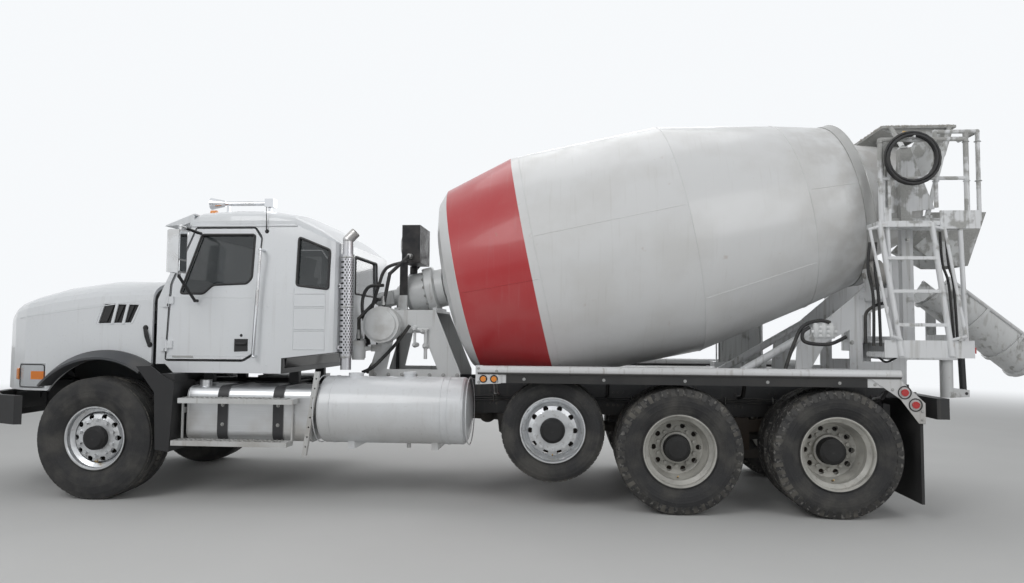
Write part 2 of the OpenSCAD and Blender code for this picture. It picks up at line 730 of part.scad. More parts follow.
// Oil cooler, oil reservoir and filter on the pedestal
module oil_cooler() {
  from_axle() color("#26282a") {
    box([2660, -260, 2290], [2850, 260, 2680]);
    translate([2640, 0, 2485]) rotate([0, 90, 0]) cylinder(h = 21, r = 180);
    for (y = [-250, 230]) box([2640, y, 1792.5], [2720, y + 20, 2291]);
    wheel_axis(2540, -web_y - NEAR, 1640) cylinder(h = 190, r = 180);
    wheel_axis(2540, -620, 1640) cylinder(h = 22, r = 150);
    translate([2295, -520, 1290]) cylinder(h = 190, r = 62);
    box([2290, -520, 1380], [2420, -431, 1420]);
    box([2400, -440, 1370], [2500, -430.5, 1440]);
  }
}

// Black hoses: the drum drive's fixed hydraulic lines
module hoses() {
  from_axle() color("#17181a") {
    bent_rod([[2428, -88, 1916], [2428, -330, 1900], [2295, -520, 1700], [2295, -520, 1480 + NEAR]], 18);
    bent_rod([[2428, 88, 1916], [2428, 250, 1900], [2340, 250, 1500], [2340, 250, frame_top + 25 + NEAR]], 18);
    bent_rod([[2755, -260 - NEAR, 2350], [2755, -340, 2350], [2600, -520, 2150], [2541, -520, 1825]], 18);
    bent_rod([[2755, 260 + NEAR, 2350], [2755, 340, 2350], [2480, 380, 2050], [2480, 390, deck_z + NEAR]], 18);
  }
}

// Wash hose: the outer shape of its coil, which hangs on the railing's hook
module wash_hose() {
  turn = 2 * hose_r + 0.5;
  from_axle() color("#17181a") wheel_axis(coil.x, coil.y, coil.z) rotate_extrude()
    translate([coil_r, 0]) square([2 * turn, 3 * turn]);
}

// Rear pedestal: two plates, a saddle for the rollers, struts, and the arms of the chute's swing post
module rear_pedestal() {
  head = 1990;
  from_axle() color("white") {
    both_sides() difference() {
      side_plate([[6560, deck_z + 0.5], [7600, deck_z + 0.5], [7620, 2330], [7440, 2300], [7180, head],
        [6590, 1480]], -web_y, -web_y + 16);
      side_plate([[6720, 1250], [7080, 1250], [7080, 1620], [6860, 1500]], -FAR, -300);
      side_plate([[7200, 1320], [7480, 1320], [7480, 1860], [7200, 1760]], -FAR, -300);
    }
    for (z = [1500, 1860]) box([7300, -web_y + 15, z], [7560, web_y - 15, z + 14]);
    both_sides() {
      rod([5960, -390, deck_z + 42], [6900, -400, 1700], 38);
      box([5900, -425, deck_z + NEAR], [6020, -355, deck_z + 30]);
      roller_bracket();
      box([7420, -760, 1400], [7540, -web_y + 1, 1520]);
      box([7430, -780, 1399], [7530, -700, 3290]);
      side_plate([[7340, 2700], [7760, 2740], [7560, 3300], [7460, 3300]], -714, -702);
      box([7340, -760, 2590], [8000, -702, 2650]);
      side_plate([[7560, 1330], [swing_x, 1330], [swing_x, 1450], [7560, 1560]], -100, -70);
    }
    box([7540, -web_y + 1, 1330], [7610, web_y - 1, 1560]);
    difference() {
      translate([swing_x, 0, 1330]) cylinder(h = 150, r = 100);
      translate([swing_x, 0, 1300]) cylinder(h = 200, r = 60 + run_gap);
    }
  }
}

// Bearing bracket of one roller
module roller_bracket() {
  c = [ring_gap_r() * cos(roller_angle), -ring_gap_r() * sin(roller_angle)];
  difference() {
    union() {
      on_drum_axis(ring_at) for (s = [-1, 1]) translate([c.x, c.y, s * (ring_w / 2 + 36) - 12])
        cylinder(h = 24, r = 62);
      on_drum_axis(ring_at) for (s = [-1, 1])
        box([c.x, c.y - 62, s * (ring_w / 2 + 36) - 12], [c.x + 240, c.y + 62, s * (ring_w / 2 + 36) + 12]);
      on_drum_axis(ring_at) box([c.x + roller_r + 30, c.y - 62, -ring_w / 2 - 47],
        [c.x + 240, -web_y + 16, ring_w / 2 + 47]);
    }
    on_drum_axis(ring_at) translate([c.x, c.y, -200]) cylinder(h = 400, r = 28 + run_gap);
  }
}

function ring_gap_r() = ring_r + roller_r + SEAT;

// Support roller with its shaft
module roller(s) {
  from_axle() color("#8d9194") on_drum_axis(ring_at)
    translate([ring_gap_r() * cos(roller_angle), s * ring_gap_r() * sin(roller_angle), 0]) {
      translate([0, 0, -ring_w / 2 - 12]) cylinder(h = ring_w + 24, r = roller_r);
      translate([0, 0, -ring_w / 2 - 62]) cylinder(h = ring_w + 124, r = 28);
    }
}

// Drum shell: a revolved wall, with the roller ring and the shaft in its head. Rows of [station, radius].
drum_outline = [[0, 340], [40, 700], [100, 880], [200, 985], [906, drum_r - 3], [1500, drum_r], [2400, drum_r - 4],
  [3520, 945], [4100, 800], [4190, 622], [drum_len, mouth_r]];

module drum_shell() {
  inner = [for (i = [len(drum_outline) - 1 : -1 : 1]) drum_outline[i] - [i < 5 ? -drum_t : 0, drum_t * 1.1]];
  from_axle() color("whitesmoke") on_drum_axis(0) {
    rotate_extrude($fn = 96) polygon(concat([for (p = concat([[0, 0]], drum_outline)) [p[1], p[0]]],
      [for (p = inner) [p[1], p[0]]], [[310, drum_t], [0, drum_t]]));
    rotate_extrude($fn = 96) polygon([[790, ring_at - ring_w / 2], [ring_r, ring_at - ring_w / 2],
      [ring_r, ring_at + ring_w / 2], [790, ring_at + ring_w / 2]]);
    translate([0, 0, -60 + GAP]) cylinder(h = 60, r = 160);
    translate([0, 0, -210]) cylinder(h = 160, r = 70);
    rotate_extrude($fn = 96) polygon([[mouth_r - 6, drum_len - 50], [mouth_r + 14, drum_len - 50],
      [mouth_r + 14, drum_len], [mouth_r - 6, drum_len]]);
  }
}

// Height of the shell's inner wall at a station, for the blades' outer edge
function wall_radius(s) = s < 4100 ? 945 - (s - 3520) * 145 / 580
  : s < 4190 ? 800 - (s - 4100) * 178 / 90
  : 622 - (s - 4190) * (622 - mouth_r) / (drum_len - 4190);

// Two spiral blades in the drum's rear cone and neck, seen through the mouth
module drum_blades() {
  s0 = 3560;
  s1 = 4560;
  n = 26;
  turns = 1.1;
  thick = 8;
  function blade_ring(i, start) = let(
      s = s0 + (s1 - s0) * i / n,
      a = start + 360 * turns * i / n,
      ro = wall_radius(s) - drum_t * 1.1 - SEAT,
      ri = ro - (s < 4100 ? 280 : 170))
    [for (p = [[ro, s], [ri, s + 20], [ri, s + 20 + thick], [ro, s + thick]])
      [p[0] * cos(a), p[0] * sin(a), p[1]]];
  from_axle() color("#9a958c") on_drum_axis(0) for (start = [20, 200]) {
    points = [for (i = [0 : n]) each blade_ring(i, start)];
    faces = [for (i = [0 : n - 1]) for (j = [0 : 3]) let(k = (j + 1) % 4)
      each [[i * 4 + j, i * 4 + k, i * 4 + 4 + j], [i * 4 + k, i * 4 + 4 + k, i * 4 + 4 + j]]];
    polyhedron(points, concat([[3, 2, 1, 0]], faces, [[n * 4, n * 4 + 1, n * 4 + 2, n * 4 + 3]]),
      convexity = 10);
  }
}

// Charge hopper over the drum's mouth: a tapered funnel with a rolled rim
module charge_hopper() {
  from_axle() color("#b9bab8") {
    difference() {
      intersection() {
        side_plate([[7420, 3590], [8090, 3590], [8060, 3330], [7880, 3130], [7650, 3085],
          [7650, 3240], [7760, 3480]], -440, 440);
        cross_plate([[-430, 3600], [430, 3600], [200, 3060], [-200, 3060]], 7300, 8200);
      }
      intersection() {
        side_plate([[7436, 3600], [8080, 3600], [8052, 3336], [7874, 3140], [7600, 3094],
          [7600, 3252], [7772, 3490]], -440, 440);
        cross_plate([[-421, 3610], [421, 3610], [191, 3068], [-191, 3068]], 7300, 8200);
      }
    }
    both_sides() box([7420, -450, 3575], [8100, -424, 3600]);
    for (x = [7412, 8080]) box([x, -450, 3575], [x + 22, 450, 3600]);
    both_sides() {
      rod([7480, -725, 3321], [7500, -446, 3574], 22, 50);
      box([7445, -760, 3300 + NEAR], [7515, -702, 3318]);
      rod([7700, -690, 2670], [8040, -440, 3580], 22, 50);
      box([7670, -730, 2650 + NEAR], [7730, -665, 2680]);
    }
  }
}

// Discharge hopper under the drum's mouth
module discharge_hopper() {
  from_axle() color("#c4c6c5") {
    difference() {
      intersection() {
        side_plate([[7765, 2440], [7870, 2540], [7870, 2760], [8380, 2760], [8300, 2260], [8040, 2260]],
          -420, 420);
        cross_plate([[-410, 2780], [410, 2780], [200, 2250], [-200, 2250]], 7600, 8500);
      }
      intersection() {
        side_plate([[7773, 2450], [7860, 2600], [7862, 2800], [8370, 2800], [8290, 2200], [8050, 2200]],
          -420, 420);
        cross_plate([[-402, 2790], [402, 2790], [192, 2240], [-192, 2240]], 7600, 8500);
      }
    }
    both_sides() side_plate([[7900, 2600], [8100, 2620], [8100, 2690], [7900, 2690]], -702 + NEAR, -354);
  }
}

// Work platform with railings, the low step deck and the ladder between them
module platform() {
  from_axle() color("white") {
    box([7560, -1060, 2540], [7970, -715, 2580]);
    box([7640, -1065, 2510], [7975, -1050, 2670]);
    box([7120, -1060, 2540], [7561, -780 - NEAR, 2580]);
    box([7600, -758, 2579], [7860, -716, 2590 - NEAR]);
    for (x = [7150, 7880]) rod([x, -1040, 2579], [x, -1040, x > 7500 ? 3370 : 3320], 22);
    rod([7150, -1040, 3310], [7880, -1040, 3310], 20);
    rod([7150, -1040, 2960], [7880, -1040, 2960], 16);
    bent_rod([[7620, -1040, 2700], [7620, -1040, 3375], [7980, -1040, 3375], [7980, -720, 3375]], 18);
    rod([7980, -1040, 3375], [7980, -1040, 2579], 18);
    difference() {
      box([7160, -1045, 2580], [7235, -985, 3322]);
      box([7185, -1100, 2700], [7210, -900, 3200]);
    }
    rod([coil.x, -1040, 3310], [coil.x, coil.y - 90, 3310], hook_r, 50);
    box([coil.x - coil_r - 40, coil.y + SEAT, coil.z - 30], [coil.x - coil_r - 5, -1040, coil.z + 30]);
    box([7100, -1180, 1380], [low_deck_end, -780 - NEAR, 1420]);
    box([7100, -1180, 1419], [low_deck_end, -1166, 1530]);
    ladder();
  }
}

// Ladder with bent side rails and handrails
module ladder() {
  feet = [7235, 7650];
  heads = [7120, 7560];
  foot_y = -1190;
  head_y = -1075;
  low = 1395;
  high = 2560;
  for (i = [0, 1]) rod([feet[i], foot_y, low], [heads[i], head_y, high], 24, 50);
  for (k = [1 : 4]) let(f = k / 4 - 0.02, y = foot_y + (head_y - foot_y) * f, z = low + (high - low) * f)
    box([feet[0] + (heads[0] - feet[0]) * f, y - 22, z - 14], [feet[1] + (heads[1] - feet[1]) * f, y + 22, z + 14]);
  for (i = [0, 1]) let(d = i == 0 ? -95 : 95)
    bent_rod([[heads[i], head_y, high - 30], [heads[i] + d, head_y - 30, high - 60],
      [feet[i] + d, foot_y - 40, low + 170], [feet[i], foot_y, low + 140]], 13);
  for (x = [7200, low_deck_end - 25]) rod([x, -1100, 1400], [x, -1040, 2545], 20);
}

// Long rear fenders: top sheet, skirt, white rail, end plates and their stays
module rear_fenders() {
  top = rail_z - rail_r - 6;
  from_axle() color("white") both_sides() {
    rod([fender_front + 20, -rail_y, rail_z], [7200, -rail_y, rail_z], rail_r);
    box([fender_front + 20, -rail_y - 2, top - 4], [7190, -700, top + 2]);
    box([fender_front + 20, -rail_y - 2, 1125], [7190, -rail_y + 5, top]);
    box([fender_front + 20, -rail_y - 4, top - 4], [7190, -rail_y + 4, rail_z]);
    side_plate([[fender_front, 1280], [fender_front + 60, 1280], [fender_front + 225, top - 6],
      [fender_front + 225, top - 70], [fender_front, top - 80]], -rail_y - 14, -rail_y - 3.5);
    side_plate([[6950, top + 10], [7190, top + 10], [fender_rear, 1000], [fender_rear, 830], [7340, 830],
      [7190, 1035]], -rail_y - 10, -rail_y - 3.5);
    side_plate([[7186, top + 2], [7190, top - 4], [fender_rear - 6, 1000], [fender_rear - 6, 825],
      [fender_rear, 825], [fender_rear, 1002], [7192, top + 2]], -rail_y - 4, -700);
    for (x = [3690, (pusher_x + first_drive) / 2 - 44, first_drive + tandem / 2, 7290]) let(lift = x > 7200 ? 110 : 8)
      bent_rod([[x, -web_y - 3.5, 960], [x, -620, 960 + 30], [x, -760, top - lift], [x, -rail_y + 20, top - lift]], 18);
  }
}

// Small lamps of the fenders, the roof and the rear
module marker_lamps() {
  lamp_y = -rail_y - 14 - NEAR;
  from_axle() color("orangered") {
    both_sides() {
      for (p = [[3640, 1160], [3735, 1160]]) wheel_axis(p.x, lamp_y, p.y) cylinder(h = 14, r = 24);
      for (p = [[7228, 1088], [7315, 985]]) wheel_axis(p.x, lamp_y + 4, p.y) cylinder(h = 14, r = 30);
    }
    difference() {
      for (y = [-600, -180, 0, 180, 600]) translate([770, y, gutter_z + roof_rise * 0.86])
        rotate([0, 90, 0]) cylinder(h = 60, r = 30);
      above_roof();
    }
    box([low_deck_end - 30, -1166 + NEAR, 1420 + NEAR], [low_deck_end + 20, -1125, 1472]);
    both_sides() for (y = [-900, -700]) translate([frame_rear + 65.5, y, 930]) rotate([0, 90, 0])
      cylinder(h = 22, r = 50);
  }
}

// Black guards behind the front wheels and rear mud flaps
module mud_flaps() {
  from_axle() color("#1d1e20") both_sides() {
    side_plate([[420, 1235], [600, 1000], [625, 480], [755, 460], [790, 1100], [655, 1166], [560, 1240]],
      -1245, -1228);
    side_plate([[738, 462], [755, 462], [789, 1098], [772, 1098]], -1229, -860);
    side_plate([[700, 1080], [790, 1090], [780, sill_z - NEAR], [655, sill_z - NEAR], [640, 1150]], -1229,
      -cab_half + 30);
    box([fender_rear - 32, -1215, 150], [fender_rear - 8, -620, 1000]);
    box([fender_rear - 34, -900, 930], [fender_rear - 10, -web_y - 14.5, 990]);
  }
}

// Pusher axle: a dropped beam with its spindles, trailing arms and air springs
module pusher_axle() {
  drop = 170;
  from_axle() color("#2e3134") {
    cross_plate([[-875, pusher_z - 55], [-640, pusher_z - 55], [-500, pusher_z - 55 - drop],
      [500, pusher_z - 55 - drop], [640, pusher_z - 55], [875, pusher_z - 55], [875, pusher_z + 45],
      [640, pusher_z + 45], [500, pusher_z + 45 - drop], [-500, pusher_z + 45 - drop],
      [-640, pusher_z + 45], [-875, pusher_z + 45]], pusher_x - 50, pusher_x + 50);
    both_sides() {
      wheel_axis(pusher_x, -860, pusher_z) cylinder(h = 190, r = 45);
      wheel_axis(pusher_x, -860, pusher_z) cylinder(h = 18, r = 160);
      side_plate([[pusher_x - 560, frame_bottom - 0.5], [pusher_x - 440, frame_bottom - 0.5],
        [pusher_x - 420, 620], [pusher_x + 60, pusher_z - 40 - drop], [pusher_x + 60, pusher_z - 90 - drop],
        [pusher_x - 480, 560], [pusher_x - 540, 600]], -480, -420);
      translate([pusher_x, -470, pusher_z + 40 - drop]) cylinder(h = frame_bottom - pusher_z - 40.5 + drop, r = 80);
    }
  }
}

// Drive axles with their housings, and the propeller shaft
module drive_axles() {
  from_axle() color("#2e3134") {
    for (x = [first_drive, second_drive]) {
      wheel_axis(x, 720, drive_z) cylinder(h = 1440, r = 75);
      wheel_axis(x, 990, drive_z) cylinder(h = 1980, r = 52);
      translate([x, 0, drive_z]) sphere(r = 200);
      rod([x - 330, 0, drive_z + 40], [x, 0, drive_z + 10], 110);
      both_sides() wheel_axis(x, -700, drive_z) cylinder(h = 20, r = 190);
    }
    rod([1351 + NEAR, 0, 830], [3540, 0, 720], 58);
    rod([3540, 0, 720], [first_drive - 320, 0, drive_z + 40], 52);
    translate([3540, 0, 720]) sphere(r = 90);
    box([3505, -web_y + rail_t + NEAR, 860], [3575, web_y - rail_t - NEAR, 900]);
    box([3505, -60, 780], [3575, 60, 880]);
    both_sides() side_plate([[first_drive - 70, 500], [first_drive + tandem / 2 - 100, beam_mid - 80],
      [first_drive + tandem / 2 + 100, beam_mid - 80], [second_drive + 70, 500], [second_drive + 70, 600],
      [first_drive + tandem / 2 + 100, beam_mid], [first_drive + tandem / 2 - 100, beam_mid],
      [first_drive - 70, 600]], -545, -465);
    rod([first_drive + 160, 0, drive_z + 60], [second_drive - 320, 0, drive_z + 40], 45);
  }
}

// Spare chute lengths, nested and stood up on the right fender in their rack
module stored_chutes() {
  floor_z = rail_z - rail_r - 4 + NEAR;
  place = [6340, 890, floor_z + 60];
  from_axle() color("white") {
    translate(place) difference() {
      for (k = [0, 1]) difference() {
        union() {
          cylinder(h = 720 - 40 * k, r = 240 - 18 * k);
          if (k == 0) for (z = [0, 690]) translate([0, 0, z]) cylinder(h = 30, r = 248);
        }
        translate([0, 0, -1]) cylinder(h = 722, r = 232 - 18 * k);
      }
      box([-FAR, -FAR, -5], [FAR, 0, FAR]);
    }
    box([place.x - 290, place.y - 10, floor_z], [place.x + 290, place.y + 260, floor_z + 60]);
    for (x = [-262, 252]) box(place + [x, 20, -1], place + [x + 10, 60, 480]);
  }
}

// Hood: rows of [station, half width, shoulder height, crown height, lower edge]
hood_rows = [
  [-hood_reach, 560, 1600, 1770, 980],
  [-hood_reach + 25, 640, 1620, 1815, 980],
  [-hood_reach + 110, 730, 1650, 1860, 980],
  [-1080, 850, 1670, 1900, 980],
  [-880, 975, 1700, 1945, 980],
  [-600, 1010, 1745, hood_rear_z - 50, 980],
  [-150, 1018, 1810, hood_rear_z + 8, 1240],
  [430, 1018, 1850, hood_rear_z, 1250]];
arch_r = front_tyre_d / 2 + 175;
lamp_cut = [[-960, 1000], [-640, 1000], [-640, 1240], [-960, 1240]];

module grille_prism(gap) {
  cross_plate([[-430 - gap, 1080 - gap], [430 + gap, 1080 - gap], [400 + gap, 1660 + gap],
    [-400 - gap, 1660 + gap]], -hood_reach - 50, -hood_reach + 90);
}

module hood_shell() {
  from_axle() color("white") {
    difference() {
      arch_loft(hood_rows, 0, 0, 0, 0);
      arch_loft(hood_rows, hood_t, 40, hood_t, 5);
      wheel_axis(0, FAR, front_z) cylinder(h = 2 * FAR, r = arch_r);
      both_sides() side_plate(lamp_cut, -FAR, -600);
      grille_prism(0);
      both_sides() box([-FAR, -470, 0], [hinge_x + 35, -430, hinge_z + 40]);
      both_sides() side_plate([[-115, 1630], [215, 1640], [290, 1810], [-55, 1815]], -FAR, -880);
    }
    both_sides() {
      side_plate([[hinge_x + 26, hinge_z - 26], [-hood_reach + 15, hinge_z - 26],
        [-hood_reach + 15, hinge_z + 40], [hinge_x + 26, hinge_z + 26]], -496, -476);
      wheel_axis(hinge_x, -440, hinge_z) cylinder(h = 50, r = hinge_pin_r);
    }
  }
}

// Grille: frame, bars and mesh field
module hood_grille() {
  x = -hood_reach;
  from_axle() color("#1b1c1e") {
    difference() {
      intersection() {
        grille_prism(-0.5);
        box([x - 3, -FAR, 0], [x + 60, FAR, FAR]);
      }
      cross_plate([[-395, 1115], [395, 1115], [367, 1626], [-367, 1626]], x - 20, x + 100);
    }
    for (z = [1150 : 48 : 1610]) box([x + 4, -394 + (z - 1115) * 0.055, z], [x + 40, 394 - (z - 1115) * 0.055, z + 14]);
    for (y = [-200, 0, 200]) box([x + 12, y - 7, 1114], [x + 36, y + 7, 1627]);
    both_sides() side_plate([[-114.4, 1630.6], [214.6, 1640.6], [289.2, 1809.5], [-54.6, 1814.4]], -1000, -988);
    both_sides() for (i = [0 : 2]) side_plate([[-100 + i * 103, 1645], [-30 + i * 103, 1647],
      [35 + i * 103, 1800], [-42 + i * 103, 1800]], -1014, -999);
  }
}

// Fender flares bolted round the wheel arches: a revolved channel, open towards the hood
module hood_flares() {
  inner = arch_r - 6;
  outer = arch_r + 78;
  root = cab_half - 2 + SEAT;
  lip = 1200;
  from_axle() color("#3d4145") both_sides() wheel_axis(0, 0, front_z) rotate([0, 0, 56])
    rotate_extrude(angle = 84) polygon([[inner, root], [inner, lip], [inner + 20, lip], [outer, root + 42],
      [outer, root], [outer - 18, root], [outer - 18, root + 34], [inner + 14, lip - 24], [inner + 14, root]]);
}

// Headlamp housings with their lenses, set into the hood's corners
module headlamps() {
  from_axle() color("#c9cfd3") both_sides() intersection() {
    difference() {
      arch_loft(hood_rows, 0, 0, 0, 0);
      arch_loft(hood_rows, 70, 40, 70, 5);
    }
    side_plate([[-959.5, 1000.5], [-640.5, 1000.5], [-640.5, 1239.5], [-959.5, 1239.5]], -FAR, -700);
    box([-FAR, -FAR, 0], [FAR, -600, FAR]);
  }
}

// Door: the part of the cab's wall inside the door line, with its hinges, handle and latch
module door(s) {
  from_axle() color("white") on_side(s) {
    difference() {
      intersection() {
        difference() {
          cab_loft(0, 0, 0);
          cab_loft(wall, wall, 60);
        }
        side_plate(drawn_in(door_line, door_gap), -FAR, -600);
      }
      side_plate(window_line, -FAR, -600);
      box([1270, -FAR, 1395], [1350, -cab_half + 14, 1470]);
    }
    for (z = hinge_levels) difference() {
      union() {
        translate([door_axis().x, door_axis().y, z]) cylinder(h = 70, r = 14);
        box([door_axis().x, door_axis().y - 4, z], [640, -cab_half - NEAR, z + 70]);
        box([602, door_axis().y - 4, z], [640, -cab_half + 1, z + 70]);
      }
      translate([door_axis().x, door_axis().y, z - 1]) cylinder(h = 72, r = door_pin_r + run_gap);
    }
  }
}

function door_axis() = [582, -cab_half - 15];
hinge_levels = [1400, 1820];
door_pin_r = 6;

module door_glass(s) {
  from_axle() color("#30363a") on_side(s) intersection() {
    difference() {
      cab_loft(16, 0, 0);
      cab_loft(23, 0, 10);
    }
    side_plate(window_line, -FAR, -600);
  }
}

// Mirror head on its two arms
module mirror_arm(s) {
  y = -1330;
  from_axle() color("#1c1d1f") on_side(s) {
    bent_rod([[870, -cab_half - NEAR, 1850], [870, -cab_half - 50, 1850], [850, y, 2060], [850, y, 2520],
      [860, -1040, 2500], [860, -cab_side(2486) - NEAR, 2500]], 14);
    hull() for (z = [2100, 2470]) {
      box([795, y - 95, z - 10], [890, y + 55, z + 10]);
      box([760, y - 60, z - 4], [790, y + 20, z + 4]);
    }
  }
}

// Steering knuckle: fork, kingpin, spindle and arm
module knuckle(s) {
  low = front_z - 70;
  top = front_z + 55;
  from_axle() color("#303337") on_side(s) {
    translate([0, -kingpin_y, low - GAP - 50]) cylinder(h = 50, r = 48);
    translate([0, -kingpin_y, top + GAP]) cylinder(h = 50, r = 48);
    translate([0, -kingpin_y, low - GAP - 20]) cylinder(h = top - low + 2 * GAP + 40, r = kingpin_r);
    for (z = [low - GAP - 50, top + GAP]) box([-48, -kingpin_y - 85, z], [48, -kingpin_y, z + 50]);
    box([-70, -kingpin_y - 95, low - GAP - 50], [70, -kingpin_y - 60, top + GAP + 50]);
    wheel_axis(0, -kingpin_y - 90, front_z) cylinder(h = 245, r = 44);
    wheel_axis(0, -kingpin_y - 90, front_z) cylinder(h = 18, r = 190);
    side_plate([[0, low - GAP - 50], [steer_arm, low - GAP - 50], [steer_arm, low - GAP - 20],
      [0, low - GAP - 20]], -kingpin_y - 30, -kingpin_y + 30);
  }
}

// Tie rod under the steering arms
module tie_rod() {
  z = front_z - 70 - GAP - 50;
  from_axle() color("#303337") {
    both_sides() translate([steer_arm - 30, -kingpin_y, z - SEAT - 40]) cylinder(h = 40, r = 30);
    rod([steer_arm - 30, -kingpin_y, z - 22], [steer_arm - 30, kingpin_y, z - 22], 18);
  }
}

// Tyre section, revolved: d diameter, w width, seat bead seat radius
module tyre(d, w, seat, rim_w) {
  r = d / 2;
  b = seat + SEAT;
  h = r - b;
  rotate_extrude($fn = 96) polygon([
    [b, -rim_w / 2 + 8], [b + 20, -rim_w / 2 + 4], [b + h * 0.35, -w / 2 + 8], [b + h * 0.55, -w / 2],
    [b + h * 0.78, -w / 2 + 6], [r - 14, -w / 2 + 22], [r - 4, -w / 2 + 40],
    [r, -w * 0.27], [r - 14, -w * 0.27], [r - 14, -w * 0.23], [r, -w * 0.23],
    [r, -w * 0.02], [r - 14, -w * 0.02], [r - 14, w * 0.02], [r, w * 0.02],
    [r, w * 0.23], [r - 14, w * 0.23], [r - 14, w * 0.27], [r, w * 0.27],
    [r - 4, w / 2 - 40], [r - 14, w / 2 - 22], [b + h * 0.78, w / 2 - 6],
    [b + h * 0.55, w / 2], [b + h * 0.35, w / 2 - 8], [b + 20, rim_w / 2 - 4], [b, rim_w / 2 - 8],
    [b, rim_w / 2 - 40], [b + 30, rim_w / 2 - 30], [b + h * 0.55, w / 2 - 24], [r - 46, w / 2 - 46],
    [r - 46, -w / 2 + 46], [b + h * 0.55, -w / 2 + 24], [b + 30, -rim_w / 2 + 30],
    [b, -rim_w / 2 + 40]]);
}

// Rim with its disc: the disc's face lies at the axial place face, and the hub bore has radius bore
module rim(seat, w, face, bore) {
  well = seat - 34;
  hub = bore + 12;
  root = min(face - 75, w / 2 - 90);
  rotate_extrude($fn = 96) polygon([
    [seat + 13, w / 2 + 8], [seat + 13, w / 2], [seat, w / 2 - 6], [seat, w / 2 - 42],
    [well, w / 2 - 66], [well, -w / 2 + 66], [seat, -w / 2 + 42], [seat, -w / 2 + 6],
    [seat + 13, -w / 2], [seat + 13, -w / 2 - 8], [seat - 4, -w / 2 - 8], [seat - rim_t, -w / 2 + 2],
    [seat - rim_t, -w / 2 + 46], [well - rim_t, -w / 2 + 70], [well - rim_t, w / 2 - 70],
    [seat - rim_t, w / 2 - 46], [seat - rim_t, w / 2 - 2], [seat - 4, w / 2 + 8]]);
  difference() {
    rotate_extrude($fn = 96) polygon(face > 0 ?
      [[hub, face - 14], [185, face - 14], [well - 45, face - 26], [well - rim_t + 2, root],
        [well - rim_t + 2, root + 17], [well - 36, face - 6], [180, face + 4], [hub, face + 4]] :
      [[hub, face - 4], [200, face - 4], [well - 34, face + 14], [well - rim_t + 3, -38],
        [well - rim_t + 3, -16], [well - 42, face + 34], [195, face + 12], [hub, face + 12]]);
    for (i = [0 : hand_holes - 1]) rotate([0, 0, i * 360 / hand_holes]) translate([200, 0, face - 60])
      cylinder(h = 120, r = 24);
  }
}

// Ring of wheel nuts on the disc's face
module nuts(face, r) {
  for (i = [0 : wheel_nuts - 1]) rotate([0, 0, (i + 0.5) * 360 / wheel_nuts]) translate([r, 0, face - 1])
    cylinder(h = 31, r = 17, $fn = 6);
}

// Steered wheel and raised wheel: one tyre on one rim, hub bored for the spindle
module single_wheel(s, x, y, z, d, w, seat, rim_w, bore, back) {
  from_axle() color("#3a3c3f") on_side(s) wheel_axis(x, -y, z) {
    tyre(d, w, seat, rim_w);
    rim(seat, rim_w, 118, 98);
    nuts(122, bolt_circle / 2);
    difference() {
      rotate_extrude() polygon([[0, -back], [150, -back], [205, -back + 10], [205, 20], [190, 30], [110, 30],
        [110, 86], [185, 90], [185, 104.5], [109, 104.5], [109, 165], [82, 190], [0, 192]]);
      translate([0, 0, -back - 10]) cylinder(h = 190 + back - 80, r = bore + run_gap);
      rotate_extrude() polygon([[130, -back - 1], [196, -back - 1], [196, 10], [130, 10]]);
    }
  }
}

module front_wheel(s) {
  single_wheel(s, 0, front_track, front_z, front_tyre_d, front_tyre_w, steer_seat_d / 2, front_rim_w, 44, 130);
}

module pusher_wheel(s) {
  single_wheel(s, pusher_x, pusher_track, pusher_z, pusher_tyre_d, pusher_tyre_w, steer_seat_d / 2, rear_rim_w,
    45, 105);
}

// Drive wheel: twin tyres on two rims bolted back to back, with one hub
module twin_wheel(s, x) {
  half = dual_spacing / 2;
  seat = drive_seat_d / 2;
  from_axle() color("#3a3c3f") on_side(s) wheel_axis(x, -drive_track, drive_z) {
    for (a = [-half, half]) translate([0, 0, a]) tyre(drive_tyre_d, drive_tyre_w, seat, rear_rim_w);
    translate([0, 0, half]) rim(seat, rear_rim_w, -half + 4.2, 128);
    translate([0, 0, -half]) mirror([0, 0, 1]) rim(seat, rear_rim_w, -half + 4.2, 128);
    nuts(17, bolt_circle / 2);
    difference() {
      rotate_extrude() polygon([[0, -190], [235, -190], [235, -12], [139, -12], [139, 60], [112, 66],
        [112, 150], [80, 168], [0, 170]]);
      translate([0, 0, -200]) cylinder(h = 290, r = 52 + run_gap);
      rotate_extrude() polygon([[120, -191], [222, -191], [222, -30], [120, -30]]);
    }
  }
}

// Swing post with its yoke, which carries the chute's tilt pins, and the lift cylinder's foot below
module chute_swing() {
  arm = chute_r + 6 + rim_bar + GAP;
  from_axle() color("#d5d7d8") {
    translate([swing_x, 0, lift_foot.z - 45]) cylinder(h = 1540 - lift_foot.z + 45, r = 60);
    translate([swing_x, 0, 1480 + NEAR]) cylinder(h = 50, r = 95);
    box([swing_x - 50, -arm - 24, 1520], [swing_x + 50, arm + 24, 1580]);
    both_sides() difference() {
      side_plate([[swing_x - 50, 1521], [swing_x + 50, 1521], [swing_x + 45, tilt_z + 45],
        [swing_x - 45, tilt_z + 45]], -arm - 24, -arm);
      wheel_axis(swing_x, 0, tilt_z) cylinder(h = FAR, r = 22 + run_gap);
    }
    both_sides() difference() {
      side_plate([[swing_x, lift_foot.z - 45], [lift_foot.x + 30, lift_foot.z - 35],
        [lift_foot.x + 30, lift_foot.z + 35], [swing_x, lift_foot.z + 55]], -58, -40);
      wheel_axis(lift_foot.x, 0, lift_foot.z) cylinder(h = FAR, r = 14 + run_gap);
    }
  }
}

// Places a piece in the chute's frame: X runs down the chute, Z is square to it
module on_chute() {
  translate([swing_x, 0, tilt_z]) rotate([0, chute_slope, 0]) children();
}

